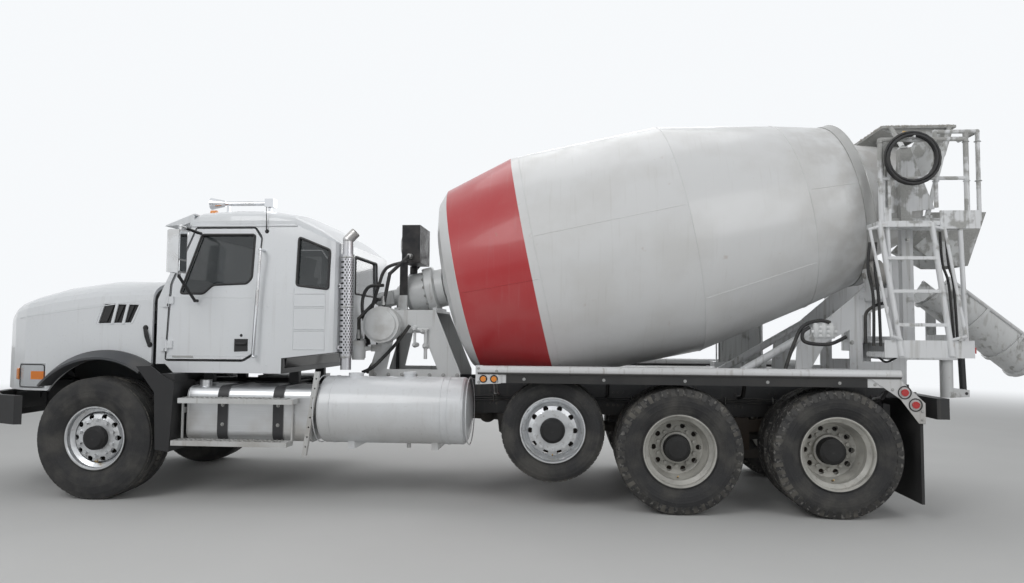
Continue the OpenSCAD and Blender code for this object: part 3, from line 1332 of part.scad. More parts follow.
// Main chute: a U trough with rolled rims, ribs, tilt pins, lift lugs and the pins that an extension hooks on
module chute() {
  x0 = -chute_head;
  x1 = chute_end;
  low = chute_rim - chute_depth;
  r = chute_r;
  axis_z = low + r;
  from_axle() color("#e4e5e4") on_chute() {
    difference() {
      union() {
        translate([x0, 0, axis_z]) rotate([0, 90, 0]) cylinder(h = x1 - x0, r = r);
        box([x0, -r, axis_z], [x1, r, chute_rim]);
        for (x = [x0 + 20, 300, 700, x1 - 60]) translate([x, 0, axis_z]) rotate([0, 90, 0])
          cylinder(h = 30, r = r + 18);
      }
      translate([x0 - 1, 0, axis_z]) rotate([0, 90, 0]) cylinder(h = x1 - x0 + 2, r = r - chute_t);
      box([x0 - 1, -r + chute_t, axis_z], [x1 + 1, r - chute_t, chute_rim + 1]);
      box([x0 - 1, -FAR, chute_rim], [x1 + 1, FAR, FAR]);
    }
    both_sides() rod([x0, -r - 6, chute_rim], [x1, -r - 6, chute_rim], rim_bar);
    both_sides() wheel_axis(0, -r + 2, 0) cylinder(h = 66, r = 22);
    both_sides() wheel_axis(x1 - 45, -r + 2, axis_z + 10) cylinder(h = 60, r = 12.5);
    for (y = [-32, 20]) difference() {
      box([eye_x - 35, y, eye_z - 30], [eye_x + 35, y + 12, low + 12]);
      wheel_axis(eye_x, FAR, eye_z) cylinder(h = 2 * FAR, r = eye_r);
    }
  }
}

// Place of the lift cylinder's upper eye in the chute's frame, and its foot on the swing post
eye_x = 420;
eye_z = chute_rim - chute_depth - 60;
eye_r = 10.4;
lift_foot = [swing_x + 160, 0, 1000];
barrel_r = 32;
piston_r = 18;

function chute_eye() = [swing_x + eye_x * cos(chute_slope) + eye_z * sin(chute_slope), 0,
  tilt_z - eye_x * sin(chute_slope) + eye_z * cos(chute_slope)];
lift_len = norm(chute_eye() - lift_foot);

module along_lift() {
  d = chute_eye() - lift_foot;
  translate(lift_foot) rotate([0, acos(d.z / norm(d)), atan2(d.y, d.x)]) children();
}

module lift_barrel() {
  from_axle() color("#2a2c2e") {
    along_lift() difference() {
      translate([0, 0, 18]) cylinder(h = 402, r = barrel_r);
      translate([0, 0, 40]) cylinder(h = 500, r = piston_r + run_gap);
    }
    wheel_axis(lift_foot.x, 62, lift_foot.z) cylinder(h = 124, r = 14);
    wheel_axis(lift_foot.x, 22, lift_foot.z) cylinder(h = 44, r = 28);
  }
}

module lift_rod() {
  from_axle() color("silver") {
    along_lift() translate([0, 0, 50]) cylinder(h = lift_len - 62, r = piston_r);
    wheel_axis(chute_eye().x, 12, chute_eye().z) difference() {
      cylinder(h = 24, r = 22);
      translate([0, 0, -1]) cylinder(h = 26, r = eye_r);
    }
  }
}

frame_rails();
front_bumper();
front_axle();
leaf_springs();
engine();
hoses();
wash_hose();
cab_shell();
cab_roof();
cab_glass();
cab_interior();
air_horn();
exhaust_stack();
grab_rails();
cab_steps();
fuel_tank();
side_boxes();
water_tank();
front_pedestal();
drum_drive();
oil_cooler();
rear_pedestal();
charge_hopper();
discharge_hopper();
platform();
rear_fenders();
marker_lamps();
mud_flaps();
pusher_axle();
drive_axles();
stored_chutes();
hood_shell();
hood_grille();
hood_flares();
headlamps();
door(-1);  // door_left
door(1);  // door_right
door_glass(-1);  // door_glass_left
door_glass(1);  // door_glass_right
mirror_arm(-1);  // mirror_left
mirror_arm(1);  // mirror_right
knuckle(-1);  // knuckle_left
knuckle(1);  // knuckle_right
tie_rod();
front_wheel(-1);  // wheel_front_left
front_wheel(1);  // wheel_front_right
pusher_wheel(-1);  // wheel_pusher_left
pusher_wheel(1);  // wheel_pusher_right
twin_wheel(-1, first_drive);  // wheel_drive_1_left
twin_wheel(1, first_drive);  // wheel_drive_1_right
twin_wheel(-1, second_drive);  // wheel_drive_2_left
twin_wheel(1, second_drive);  // wheel_drive_2_right
drum_shell();
drum_blades();
roller(-1);  // roller_left
roller(1);  // roller_right
chute_swing();
chute();
lift_barrel();
lift_rod();
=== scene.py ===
"""Looks of the concrete mixer truck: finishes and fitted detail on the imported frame, in metres."""
import bmesh
import bpy
import math
import random
from mathutils import Matrix, Vector
from mathutils.bvhtree import BVHTree


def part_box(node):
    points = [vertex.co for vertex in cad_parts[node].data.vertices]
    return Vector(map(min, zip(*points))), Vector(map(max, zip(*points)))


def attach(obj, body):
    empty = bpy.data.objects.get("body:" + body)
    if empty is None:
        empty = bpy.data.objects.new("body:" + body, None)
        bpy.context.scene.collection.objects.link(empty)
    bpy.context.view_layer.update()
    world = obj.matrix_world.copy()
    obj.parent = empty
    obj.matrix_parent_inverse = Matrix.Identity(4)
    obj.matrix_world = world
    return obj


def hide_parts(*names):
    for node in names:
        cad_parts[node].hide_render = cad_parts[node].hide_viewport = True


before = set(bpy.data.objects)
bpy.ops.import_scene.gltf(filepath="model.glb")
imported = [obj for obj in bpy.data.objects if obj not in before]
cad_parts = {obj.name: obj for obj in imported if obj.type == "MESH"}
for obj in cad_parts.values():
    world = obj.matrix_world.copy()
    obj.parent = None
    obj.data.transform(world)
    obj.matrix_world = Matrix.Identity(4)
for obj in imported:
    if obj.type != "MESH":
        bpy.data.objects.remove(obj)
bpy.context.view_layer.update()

# Camera
# The truck was taken from the road, level with its tanks, with a wide lens close to the middle of
# its left side.
picture_width = 1024
focal_pixels = 740
yaw = math.radians(4.6)
pitch = math.radians(3.2)
roll = math.radians(0.43)
looking = Vector((-math.sin(yaw) * math.cos(pitch), math.cos(yaw) * math.cos(pitch), math.sin(pitch)))
level = Vector((math.cos(yaw), math.sin(yaw), 0))
upright = level.cross(looking)
across = level * math.cos(roll) + upright * math.sin(roll)
upwards = upright * math.cos(roll) - level * math.sin(roll)
eye = bpy.data.cameras.new("roadside_camera")
eye.sensor_width = 36
eye.lens = focal_pixels / picture_width * eye.sensor_width
camera = bpy.data.objects.new("roadside_camera", eye)
bpy.context.scene.collection.objects.link(camera)
turned_to = Matrix((across, upwards, -looking)).transposed().to_4x4()
camera.matrix_world = Matrix.Translation((0.6272, -7.79, 1.568)) @ turned_to
bpy.context.scene.camera = camera

# Wash hose
# Black rubber water hose with a brass nozzle, wound into a coil of two layers that hangs on a hook
# of the platform's railing. It leaves the tap plate beside the coil.
rearwards = Vector((1, 0, 0))
rightwards = Vector((0, 1, 0))
upward = Vector((0, 0, 1))
front_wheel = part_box("wheel_front_left")
axle_x = (front_wheel[0][0] + front_wheel[1][0]) / 2


def at(x, y, z):
    """A point given in millimetres, with x counted rearwards from the front axle."""
    return Vector((axle_x + x / 1000, y / 1000, z / 1000))


class Wire:
    """A socket in a material, so that shader maths is written as plain sums."""

    def __init__(self, tree, socket):
        self.tree = tree
        self.socket = socket

    def node(self, kind, settings, sockets, out=0):
        """Any node: its settings or None, then the values or wires of its sockets."""
        made = self.tree.nodes.new("ShaderNode" + kind)
        for name, value in (settings or {}).items():
            setattr(made, name, value)
        for key, value in sockets.items():
            if isinstance(value, Wire):
                self.tree.links.new(value.socket, made.inputs[key])
            else:
                made.inputs[key].default_value = value
        return Wire(self.tree, made.outputs[out])

    def maths(self, operation, *others):
        return self.node("Math", {"operation": operation}, dict(enumerate((self, *others))))

    def __add__(self, other):
        return self.maths("ADD", other)

    def __sub__(self, other):
        return self.maths("SUBTRACT", other)

    def __rsub__(self, other):
        return self.node("Math", {"operation": "SUBTRACT"}, {0: other, 1: self})

    def __mul__(self, other):
        return self.maths("MULTIPLY", other)

    __radd__ = __add__
    __rmul__ = __mul__

    def either(self, other):
        """The larger of two masks."""
        return self.maths("MAXIMUM", other)

    def wave(self, waves):
        """A sine along a distance, with waves given in radians a metre."""
        return (self * waves).maths("SINE")

    def rise(self, low, high):
        """0 below low, 1 above high, and smooth between."""
        return self.node("MapRange", {"interpolation_type": "SMOOTHSTEP"}, {0: self, 1: low, 2: high})

    def band(self, low, high, soft):
        """1 between low and high, with soft edges."""
        return self.rise(low - soft, low + soft) * (1 - self.rise(high - soft, high + soft))

    def split(self):
        parts = self.node("SeparateXYZ", None, {0: self}).socket.node.outputs
        return [Wire(self.tree, part) for part in parts]

    def noise(self, scale, detail=3.0, stretch=(1, 1, 1)):
        """Cloudy values from 0 to 1 at a place, with the place stretched first."""
        place = self.node("VectorMath", {"operation": "MULTIPLY"}, {0: self, 1: stretch})
        return self.node("TexNoise", None, {"Vector": place, "Scale": scale, "Detail": detail})

    def blend(self, first, second):
        """The first colour where this mask is 0, and the second where it is 1."""
        ends = [c if isinstance(c, Wire) else (*c, 1) for c in (first, second)]
        return self.node("Mix", {"data_type": "RGBA"}, {0: self, 6: ends[0], 7: ends[1]}, 2)

    def bump(self, distance, strength):
        """This height as a normal, distance metres from 0 to 1."""
        return self.node("Bump", None, {"Strength": strength, "Distance": distance, "Height": self})


def given(tree, kind, output):
    """A wire from a node that gives what Blender knows, such as a place or the kind of a ray."""
    return Wire(tree, tree.nodes.new("ShaderNode" + kind).outputs[output])


def finish(name, colour, rough, metal=0.0, coat=0.0, alpha=1.0):
    """A new material, and the piece's own coordinates in it as a wire."""
    made = bpy.data.materials.new(name)
    made.use_nodes = True
    skin = made.node_tree.nodes["Principled BSDF"].inputs
    skin["Base Color"].default_value = (*colour, 1)
    skin["Roughness"].default_value = rough
    skin["Metallic"].default_value = metal
    skin["Coat Weight"].default_value = coat
    skin["Coat Roughness"].default_value = 0.08
    skin["Alpha"].default_value = alpha
    return made, given(made.node_tree, "TexCoord", "Object")


fed_sockets = {"colour": "Base Color", "rough": "Roughness", "metal": "Metallic", "normal": "Normal"}


def feed(look, **wires):
    """Links wires to a material's colour, rough, metal and normal."""
    for word, wire in wires.items():
        skin = look.node_tree.nodes["Principled BSDF"].inputs
        look.node_tree.links.new(wire.socket, skin[fed_sockets[word]])


def rubber(name, dust, colour=(0.018, 0.018, 0.019)):
    """Black rubber that greys where road dust settles."""
    made, where = finish(name, colour, 0.62)
    speck = where.noise(160, 3)
    soil = where.noise(7, 5).rise(0.42, 0.75) * dust + speck.rise(0.62, 0.8) * (dust * 0.5)
    feed(
        made,
        colour=soil.blend(colour, (0.17, 0.16, 0.14)),
        rough=0.55 + soil * 0.4,
        normal=speck.bump(0.0004, 0.4),
    )
    return made


def circle(middle, radius, count, one=rearwards, two=upward):
    """Points round a middle, from the way one towards the way two."""
    turns = [2 * math.pi * k / count for k in range(count)]
    return [middle + (one * math.cos(t) + two * math.sin(t)) * radius for t in turns]


def tube(mesh, points, radius, sides=8, closed=False):
    """A round bar along points, of one radius or one for each, with flat ends unless it is closed."""
    count = len(points)
    normal = None
    rings = []
    for i, point in enumerate(points):
        before = points[i - 1] if i or closed else point
        after = points[(i + 1) % count] if i < count - 1 or closed else point
        along = (after - before).normalized()
        if normal is None:
            normal = along.orthogonal().normalized()
        normal = (normal - along * normal.dot(along)).normalized()
        size = radius[i] if isinstance(radius, list) else radius
        rings.append([mesh.verts.new(p) for p in circle(point, size, sides, normal, along.cross(normal))])
    for i in range(count if closed else count - 1):
        one, two = rings[i], rings[(i + 1) % count]
        shift = 0
        if closed and i == count - 1:
            gaps = [(one[0].co - vert.co).length for vert in two]
            shift = gaps.index(min(gaps))
        for k in range(sides):
            n = (k + 1) % sides
            mesh.faces.new([one[k], one[n], two[(n + shift) % sides], two[(k + shift) % sides]])
    if not closed:
        mesh.faces.new(list(reversed(rings[0])))
        mesh.faces.new(rings[-1])


def turned(mesh, foot, way, steps, sides):
    """A turned part along a way, from steps of a distance and a radius."""
    tube(mesh, [foot + way * far for far, _ in steps], [radius for _, radius in steps], sides)


def piece(name, mesh, look, body="truck", crease=35):
    """Turns a bmesh into a piece of the truck that rides on a body."""
    bmesh.ops.recalc_face_normals(mesh, faces=mesh.faces)
    data = bpy.data.meshes.new(name)
    mesh.to_mesh(data)
    mesh.free()
    data.materials.append(look)
    for face in data.polygons:
        face.use_smooth = True
    thing = bpy.data.objects.new(name, data)
    bpy.context.scene.collection.objects.link(thing)
    data.set_sharp_from_angle(angle=math.radians(crease))
    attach(thing, body)
    return thing


def round_bars(name, paths, radius, look, body="truck", sides=8, closed=False):
    """A piece made of round bars along paths."""
    mesh = bmesh.new()
    for path in paths:
        if len(path) > 1:
            tube(mesh, path, radius, sides, closed)
    piece(name, mesh, look, body)


def dress(look, *nodes):
    """Gives CAD nodes a material."""
    for node in nodes:
        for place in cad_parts[node].material_slots:
            place.material = look


hose_radius = 0.013
clearance = 0.001
coil_low, coil_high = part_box("wash_hose")
coil_x = (coil_low[0] + coil_high[0]) / 2
coil_z = (coil_low[2] + coil_high[2]) / 2
coil_outer = (coil_high[0] - coil_low[0]) / 2 - hose_radius - clearance
points_per_turn = 24
points_per_layer = 46
layer_turns = (points_per_layer - 1) / points_per_turn
layer_step = 2 * hose_radius + 0.0006
hose_step = (coil_high[1] - coil_low[1] - 2 * (hose_radius + clearance)) / layer_turns
crossing_points = 5
hose_path = []
for layer in (0, 1):
    for k in range(layer, points_per_layer):
        turn = k / points_per_turn
        travel = layer_turns - turn if layer else turn
        angle = math.pi + 2 * math.pi * (turn + layer * layer_turns)
        inward = 1 - min(1, k / crossing_points) if layer else 1
        size = coil_outer - layer_step * inward
        y = coil_high[1] - hose_radius - clearance - travel * hose_step
        hose_path.append(Vector((coil_x + size * math.cos(angle), y, coil_z + size * math.sin(angle))))
hose_rubber = rubber("wash_hose_rubber", 0.2)
hose_mesh = bmesh.new()
tube(hose_mesh, hose_path, hose_radius, 12)
wash_hose = piece("wash_hose_coil", hose_mesh, hose_rubber)
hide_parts("wash_hose")
brass, where = finish("aged_brass", (0.42, 0.27, 0.09), 0.35, metal=1)
feed(
    brass,
    colour=where.noise(60).rise(0.4, 0.7).blend((0.45, 0.30, 0.11), (0.16, 0.12, 0.07)),
    rough=0.3 + where.noise(90) * 0.3,
)
nozzle_mesh = bmesh.new()
heading = (hose_path[-1] - hose_path[-2]).normalized()
nozzle_steps = (
    (0.000, 0.0145), (0.020, 0.0145), (0.022, 0.012), (0.050, 0.010), (0.052, 0.013), (0.066, 0.013),
)
turned(nozzle_mesh, hose_path[-1], heading, nozzle_steps, 14)
nozzle = piece("wash_hose_nozzle", nozzle_mesh, brass)

# Chassis frame and mixer subframe
# Two pressed steel channels with riveted crossmembers, painted dark grey, with the boxed subframe of
# the mixer on top. Mud and dust dull the lower flanges, and rows of flanged bolts hold the brackets.


def weathered(name, colour, rough, soil=(0.27, 0.24, 0.20), grime=0.5, reach=1.2, streaks=0.25,
              metal=0.0, coat=0.0, peel=0.0002, underside_shade=0.0):
    """Paint or plain metal with clouds of dust up to reach, runs below edges, and painted shade on faces
    that point down.
    """
    made, where = finish(name, colour, rough, metal, coat)
    cloud = where.noise(1.9, 6)
    runs = where.noise(1, 3, (24, 24, 1.3))
    low = 1 - where.split()[2].rise(0.15, reach)
    mask = low * cloud.rise(0.3, 0.66) * grime + runs.rise(0.56, 0.78) * streaks
    mask = mask + where.noise(45, 4).rise(0.6, 0.8) * (0.25 * grime)
    shade = cloud.blend([c * 0.93 for c in colour], colour)
    # Painted shade: faces that point down are darkened towards near black, by the amount given for
    # undersides.
    facing_up = given(made.node_tree, "NewGeometry", "Normal").split()[2]
    below = (1 - facing_up.rise(-0.6, -0.3)) * underside_shade
    feed(
        made,
        colour=below.blend(mask.maths("MINIMUM", 0.92).blend(shade, soil), (0.03, 0.028, 0.026)),
        rough=rough + mask * 0.45,
        normal=where.noise(260, 2).bump(peel, 0.35),
    )
    return made


def bolt(mesh, place, out, size, tall):
    """A hexagon head on its washer, standing on a surface that faces out."""
    out = out.normalized()
    side = out.orthogonal().normalized()
    other = out.cross(side)
    rings = []
    # Height, radius and corners: the washer's two edges, then the head's foot, shoulder and top.
    for height, radius, corners in (
        (0, 0.78, 14), (0.12, 0.78, 14), (0.12, 0.5, 6), (0.82, 0.5, 6), (1, 0.4, 6),
    ):
        ring = circle(place + out * tall * height, radius * size, corners, side, other)
        rings.append([mesh.verts.new(point) for point in ring])
    for one, two in ((rings[0], rings[1]), (rings[2], rings[3]), (rings[3], rings[4])):
        for k in range(len(one)):
            n = (k + 1) % len(one)
            mesh.faces.new([one[k], one[n], two[n], two[k]])
    mesh.faces.new(rings[1])
    mesh.faces.new(rings[4])


frame_paint = weathered("frame_paint", (0.020, 0.021, 0.023), 0.45, soil=(0.11, 0.10, 0.085), grime=0.6,
                        streaks=0.3)
dress(frame_paint, "frame_rails")
zinc = weathered("zinc_bolts", (0.42, 0.42, 0.41), 0.35, grime=0.6, streaks=0.2, metal=0.9)
dark_bolts = weathered("blackened_bolts", (0.05, 0.05, 0.052), 0.4, grime=0.8, metal=0.6)
frame_half = 430
bracket_rows = (300, 780, 1500, 2100, 2250, 3300, 3650, 4100, 4800, 4900, 5700, 6027, 6350, 6900, 7300)
frame_bolts = bmesh.new()
for side in (-1, 1):
    for x in bracket_rows:
        for dx, z in ((-28, 870), (28, 870), (-28, 990), (28, 990)):
            bolt(frame_bolts, at(x + dx, side * frame_half, z), rightwards * side, 0.020, 0.012)
piece("frame_bolts", frame_bolts, dark_bolts)
air_line = rubber("air_line_rubber", 0.5, (0.03, 0.03, 0.032))
paths = []
for side in (-1, 1):
    for row, z in enumerate((905, 925, 945)):
        y = side * (frame_half + 9 + row * 2)
        paths.append([at(2150 + k * 88, y, z + 5 * math.sin(k * 1.1 + row)) for k in range(60)])
round_bars("air_lines", paths, 0.007, air_line)
clip = ((1, 890), (22, 896), (24, 955), (1, 962))
spots = [(x, side) for side in (-1, 1) for x in range(2300, 7300, 450)]
paths = [[at(x, side * (frame_half + off), z) for off, z in clip] for x, side in spots]
round_bars("air_line_clips", paths, 0.005, zinc, sides=6)

# Axles and springs
# Cast and forged steel under thick road film: the front beam on leaf springs, two drive axles with
# their banjo housings, and the raised pusher axle.
axle_steel = weathered("axle_steel", (0.028, 0.027, 0.026), 0.55, soil=(0.12, 0.105, 0.09), grime=0.8,
                       reach=1.6, streaks=0.3, metal=0.2)
spring_steel = weathered("spring_steel", (0.035, 0.032, 0.030), 0.55, soil=(0.12, 0.08, 0.05), grime=0.6,
                         reach=1.5, streaks=0.3, metal=0.3)
dress(axle_steel, "front_axle", "drive_axles", "pusher_axle", "knuckle_left", "knuckle_right", "tie_rod")
dress(spring_steel, "leaf_springs")
engine_paint = weathered("engine_paint", (0.05, 0.055, 0.06), 0.5, soil=(0.12, 0.11, 0.09), grime=0.7,
                         reach=1.8)
dress(engine_paint, "engine")
hose_share = [k / 16 for k in range(17)]
hose_fall = [200 * t + 60 * math.sin(math.pi * t) for t in hose_share]
paths = [
    [at(x + 200 * t, side * (frame_half - 60 * t), 880 - fall) for t, fall in zip(hose_share, hose_fall)]
    for side in (-1, 1) for x in (5100, 6435)
]
round_bars("brake_hoses", paths, 0.010, air_line)

# Wheels and tyres
# Wide steer tyres and pusher tyres on polished aluminium discs with black hubs, and twin drive tyres
# on dusty white steel discs. Rubber blocks stand a few millimetres proud of each crown, in ribs or
# in slanted bars.
skins = {}


def skin_at(node, start, way, reach=4.0):
    """Where a line first meets the skin of a node, or of the first of several that it meets."""
    for name in node.split():
        if name not in skins:
            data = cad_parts[name].data
            faces = [face.vertices for face in data.polygons]
            skins[name] = BVHTree.FromPolygons([vert.co for vert in data.vertices], faces)
        place = skins[name].ray_cast(start, way.normalized(), reach)[0]
        if place:
            return place
    return None


def wheel_finish(name, x, z, bead, disc_colour, metal, hub_colour, hub_reach):
    """Tyre, disc and hub in one, told apart by their distance from the wheel's centre line."""
    made, where = finish(name, (0.02, 0.02, 0.02), 0.7)
    along, _, height = where.split()
    dx = along - (axle_x + x / 1000)
    dz = height - z / 1000
    far = (dx * dx + dz * dz).maths("SQRT")
    speck = where.noise(120, 3)
    tyre = far.rise(bead - 0.002, bead + 0.002)
    hub = 1 - far.rise(hub_reach - 0.002, hub_reach + 0.002)
    dust = where.noise(5, 5).rise(0.38, 0.72)
    soil = dust * 0.55 + speck.rise(0.55, 0.75) * 0.2
    black = soil.blend((0.020, 0.020, 0.021), (0.13, 0.125, 0.115))
    fade = 0.55 if metal else 0.275
    disc = (dust * 0.5).blend(disc_colour, [c * fade for c in disc_colour])
    disc = (where.noise(30, 4).rise(0.56, 0.75) * 0.4).blend(disc, (0.20, 0.17, 0.13))
    inner = (dust * 0.12).blend(hub_colour, (0.10, 0.095, 0.09))
    wall = far.band(bead + 0.03, bead + 0.15, 0.01)
    if not metal:
        scuffed = where.noise(34, 4).rise(0.50, 0.62) * far.rise(0.46, 0.53)
        black = (scuffed * 0.55).blend(black, (0.30, 0.29, 0.27))
    feed(
        made,
        colour=tyre.blend(hub.blend(disc, inner), black),
        metal=(1 - tyre) * (1 - hub) * (metal * (1 - dust * 0.35)),
        rough=tyre * 0.45 + hub * (1 - tyre) * 0.35 + 0.3 + dust * 0.25,
        normal=(far.wave(260) * wall * tyre * 0.5 + speck * 0.3).bump(0.0016, 0.5),
    )
    return made


def block(mesh, corners):
    """A rubber block from its eight corners, the lower four first."""
    verts = [mesh.verts.new(corner) for corner in corners]
    for quad in ((4, 5, 7, 6), (0, 1, 3, 2), (0, 1, 5, 4), (2, 3, 7, 6), (0, 2, 6, 4), (1, 3, 7, 5)):
        mesh.faces.new([verts[k] for k in quad])


def round_wheel(angle):
    """The way out from a wheel's centre line."""
    return Vector((math.cos(angle), 0, math.sin(angle)))


def tread(wheel, x, z, middles, width, bars, slanted):
    """Rubber blocks round each tyre of a wheel, seated on its crown."""
    mesh = bmesh.new()
    ribs = 4 if slanted else 5
    groove = 10
    step = width * 0.84 / ribs
    for middle in middles:
        for rib in range(ribs):
            start = -width * 0.42 + rib * step + groove / 2
            skew = (1 if rib % 2 else -1) * 0.35 / bars * 2 * math.pi if slanted else 0
            for bar in range(bars):
                begin = bar + (rib % 2) * 0.5
                corners = []
                for lift in (-0.004, 0.005):
                    for y, lean in ((start, 0), (start + step - groove, skew)):
                        for share in (0.06, 0.86):
                            way = round_wheel(2 * math.pi * (begin + share) / bars + lean)
                            hub = at(x, middle + y, z)
                            hit = skin_at(wheel, hub + way * 0.9, -way, 0.6)
                            crown = (hit - hub).length if hit else 0.5
                            corners.append(hub + way * (crown + lift))
                block(mesh, corners)
    if slanted:
        # Short lugs run from the crown down the outer shoulder.
        outward = rightwards * math.copysign(1, middles[0])
        for bar in range(bars):
            corners = []
            for lift in (-0.006, 0.006):
                for reach in (0.478, 0.538):
                    for share in (0.10, 0.62):
                        way = round_wheel(2 * math.pi * (bar + share) / bars)
                        start = at(x, outward.y * 1500, z) + way * reach
                        corners.append((skin_at(wheel, start, -outward, 1.0) or start) + outward * lift)
            block(mesh, corners)
    piece(wheel + "_tread", mesh, tread_rubber, wheel, 20)


tread_rubber = rubber("tread_rubber", 0.8, (0.028, 0.027, 0.026))
brake_iron = weathered("brake_iron", (0.020, 0.018, 0.017), 0.7, (0.07, 0.05, 0.035), 0.6, metal=0.4)
# Each disc: the radius where its tyre begins, its colour and metal, the hub's colour and radius.
polished_disc = (0.292, (0.66, 0.67, 0.68), 1.0, (0.008, 0.008, 0.009), 0.112)
dusty_disc = (0.316, (0.52, 0.51, 0.47), 0.0, (0.010, 0.010, 0.010), 0.122)
brake_radius = 0.212
twins = [-165, 165]
hands = ((-1, "left"), (1, "right"))
wheel_rows = (
    # name, x, y, z, disc, places of its tyres, tread width, bars round it, slanted or not
    ("wheel_front", 0, 1020, 562, polished_disc, [0], 400, 64, False),
    ("wheel_pusher", 4250, 990, 700, polished_disc, [0], 255, 60, False),
    ("wheel_drive_1", 5360, 915, 550, dusty_disc, twins, 280, 46, True),
    ("wheel_drive_2", 6695, 915, 550, dusty_disc, twins, 280, 46, True),
)
for name, x, y, z, disc, middles, width, bars, slanted in wheel_rows:
    look = wheel_finish(name + "_finish", x, z, *disc)
    for side, word in hands:
        wheel = name + "_" + word
        dress(look, wheel)
        tread(wheel, x, z, [side * (y + m) for m in middles], width, bars, slanted)
        brake = bmesh.new()
        ends = (-0.150, -0.010) if slanted else (-0.100, 0.060)
        turned(brake, at(x, side * y, z), rightwards * side, [(end, brake_radius) for end in ends], 40)
        piece(wheel + "_brake_drum", brake, brake_iron, wheel)
        valve = bmesh.new()
        foot = skin_at(wheel, at(x, side * (y + 500), z) - upward * (disc[0] - 0.062), rightwards * -side)
        bent = ((0, 0), (0.03, 0.004), (0.05, 0.016))
        tube(valve, [foot + Vector((0, side * out, up)) for out, up in bent], 0.006)
        piece(wheel + "_valve", valve, brass, wheel)

# Front bumper
# Swept black plastic bumper with a fine grain, bolted to the frame brackets, with a bare plate
# holder in its middle.


def from_front(x, spots):
    """Lines towards the rear that start at x, through spots of y and z."""
    return [(at(x, y, z), rearwards) for y, z in spots]


def bolts_on(name, node, lines, size, tall, look=None, near=0, far=2):
    """A piece of bolts where lines meet a node, between near and far from the truck's middle."""
    mesh = bmesh.new()
    for start, way in lines:
        place = skin_at(node, start, way)
        if place and near <= abs(place.y) <= far:
            bolt(mesh, place, -way, size, tall)
    piece(name, mesh, look or zinc)


def rectangle(left, right, low, high):
    return (left, low), (right, low), (right, high), (left, high)


def slab(mesh, corners, normal, thick):
    """A flat plate from its corners, standing thick off them along the normal, with a rounded edge."""
    middle = sum(corners, Vector()) / len(corners)
    rings = []
    for height, shrink in ((0, 0), (0.6, 0), (1, 0.5)):
        inward = [(middle - corner).normalized() * thick * shrink for corner in corners]
        rings.append([mesh.verts.new(c + i + normal * thick * height) for c, i in zip(corners, inward)])
    for one, two in zip(rings, rings[1:]):
        for k in range(len(corners)):
            n = (k + 1) % len(corners)
            mesh.faces.new([one[k], one[n], two[n], two[k]])
    mesh.faces.new(rings[-1])
    mesh.faces.new(list(reversed(rings[0])))


grained, where = finish("grained_black_plastic", (0.022, 0.022, 0.024), 0.55)
faded = where.noise(2.2, 5).rise(0.4, 0.7)
feed(
    grained,
    colour=(faded * 0.4).blend((0.014, 0.014, 0.015), (0.060, 0.058, 0.055)),
    rough=0.5 + faded * 0.25,
    normal=where.noise(420, 2).bump(0.0005, 0.5),
)
dress(grained, "front_bumper", "mud_flaps", "hood_grille")
spots = [(y, z) for y in (-700, -420, 420, 700) for z in (740, 880)]
bolts_on("bumper_bolts", "front_bumper", from_front(-2200, spots), 0.022, 0.012)
plate_mesh = bmesh.new()
plate_x = skin_at("front_bumper", at(-2200, 0, 810), rearwards).x - 0.002
plate = [Vector((plate_x, y / 1000, z / 1000)) for y, z in rectangle(-160, 160, 760, 860)]
slab(plate_mesh, plate, -rearwards, 0.006)
white_trim = weathered("white_plate", (0.72, 0.73, 0.74), 0.4, streaks=0.1)
piece("bare_number_plate", plate_mesh, white_trim)

# Hood
# One-piece moulded white hood that tilts forward, with side vents, a dark slatted grille, clear
# headlamps and dark grey flares. Rubber pull latches hold it at the cowl.


def from_sides(spots, sides=(-1, 1)):
    """Lines towards the truck's middle from well outside it, through spots of x and z."""
    return [(at(x, side * 1700, z), rightwards * -side) for side in sides for x, z in spots]


def laid_on(node, lines, lift=0.0, reach=4.0):
    """The places where lines meet a node, each moved back along its line by lift."""
    hits = [(skin_at(node, start, way, reach), way) for start, way in lines]
    return [place - way * lift for place, way in hits if place]


def ring_on(node, lines):
    """A closed path on a node round the places where lines meet it, with softened corners."""
    starts = []
    for k, (corner, _) in enumerate(lines):
        following = lines[(k + 1) % len(lines)][0]
        count = max(2, int((following - corner).length / 0.016))
        starts += [corner.lerp(following, n / count) for n in range(count)]
    for _ in range(2):
        count = len(starts)
        starts = [(starts[k - 1] + starts[k] * 2 + starts[(k + 1) % count]) / 4 for k in range(count)]
    return laid_on(node, [(start, lines[0][1]) for start in starts], reach=1.5)


def line_on(node, side, start, stop, count, lift):
    """A path on one side of a node, straight from start to stop in x and z."""
    spots = [[a + (b - a) * k / count for a, b in zip(start, stop)] for k in range(count + 1)]
    return laid_on(node, from_sides(spots, [side]), lift)


def grown(outline, extra):
    """An outline moved away from its own middle by about extra millimetres."""
    middle = [sum(p[k] for p in outline) / len(outline) for k in (0, 1)]
    scales = [1 + extra / math.dist(p, middle) for p in outline]
    return [[m + (c - m) * scale for c, m in zip(p, middle)] for p, scale in zip(outline, scales)]


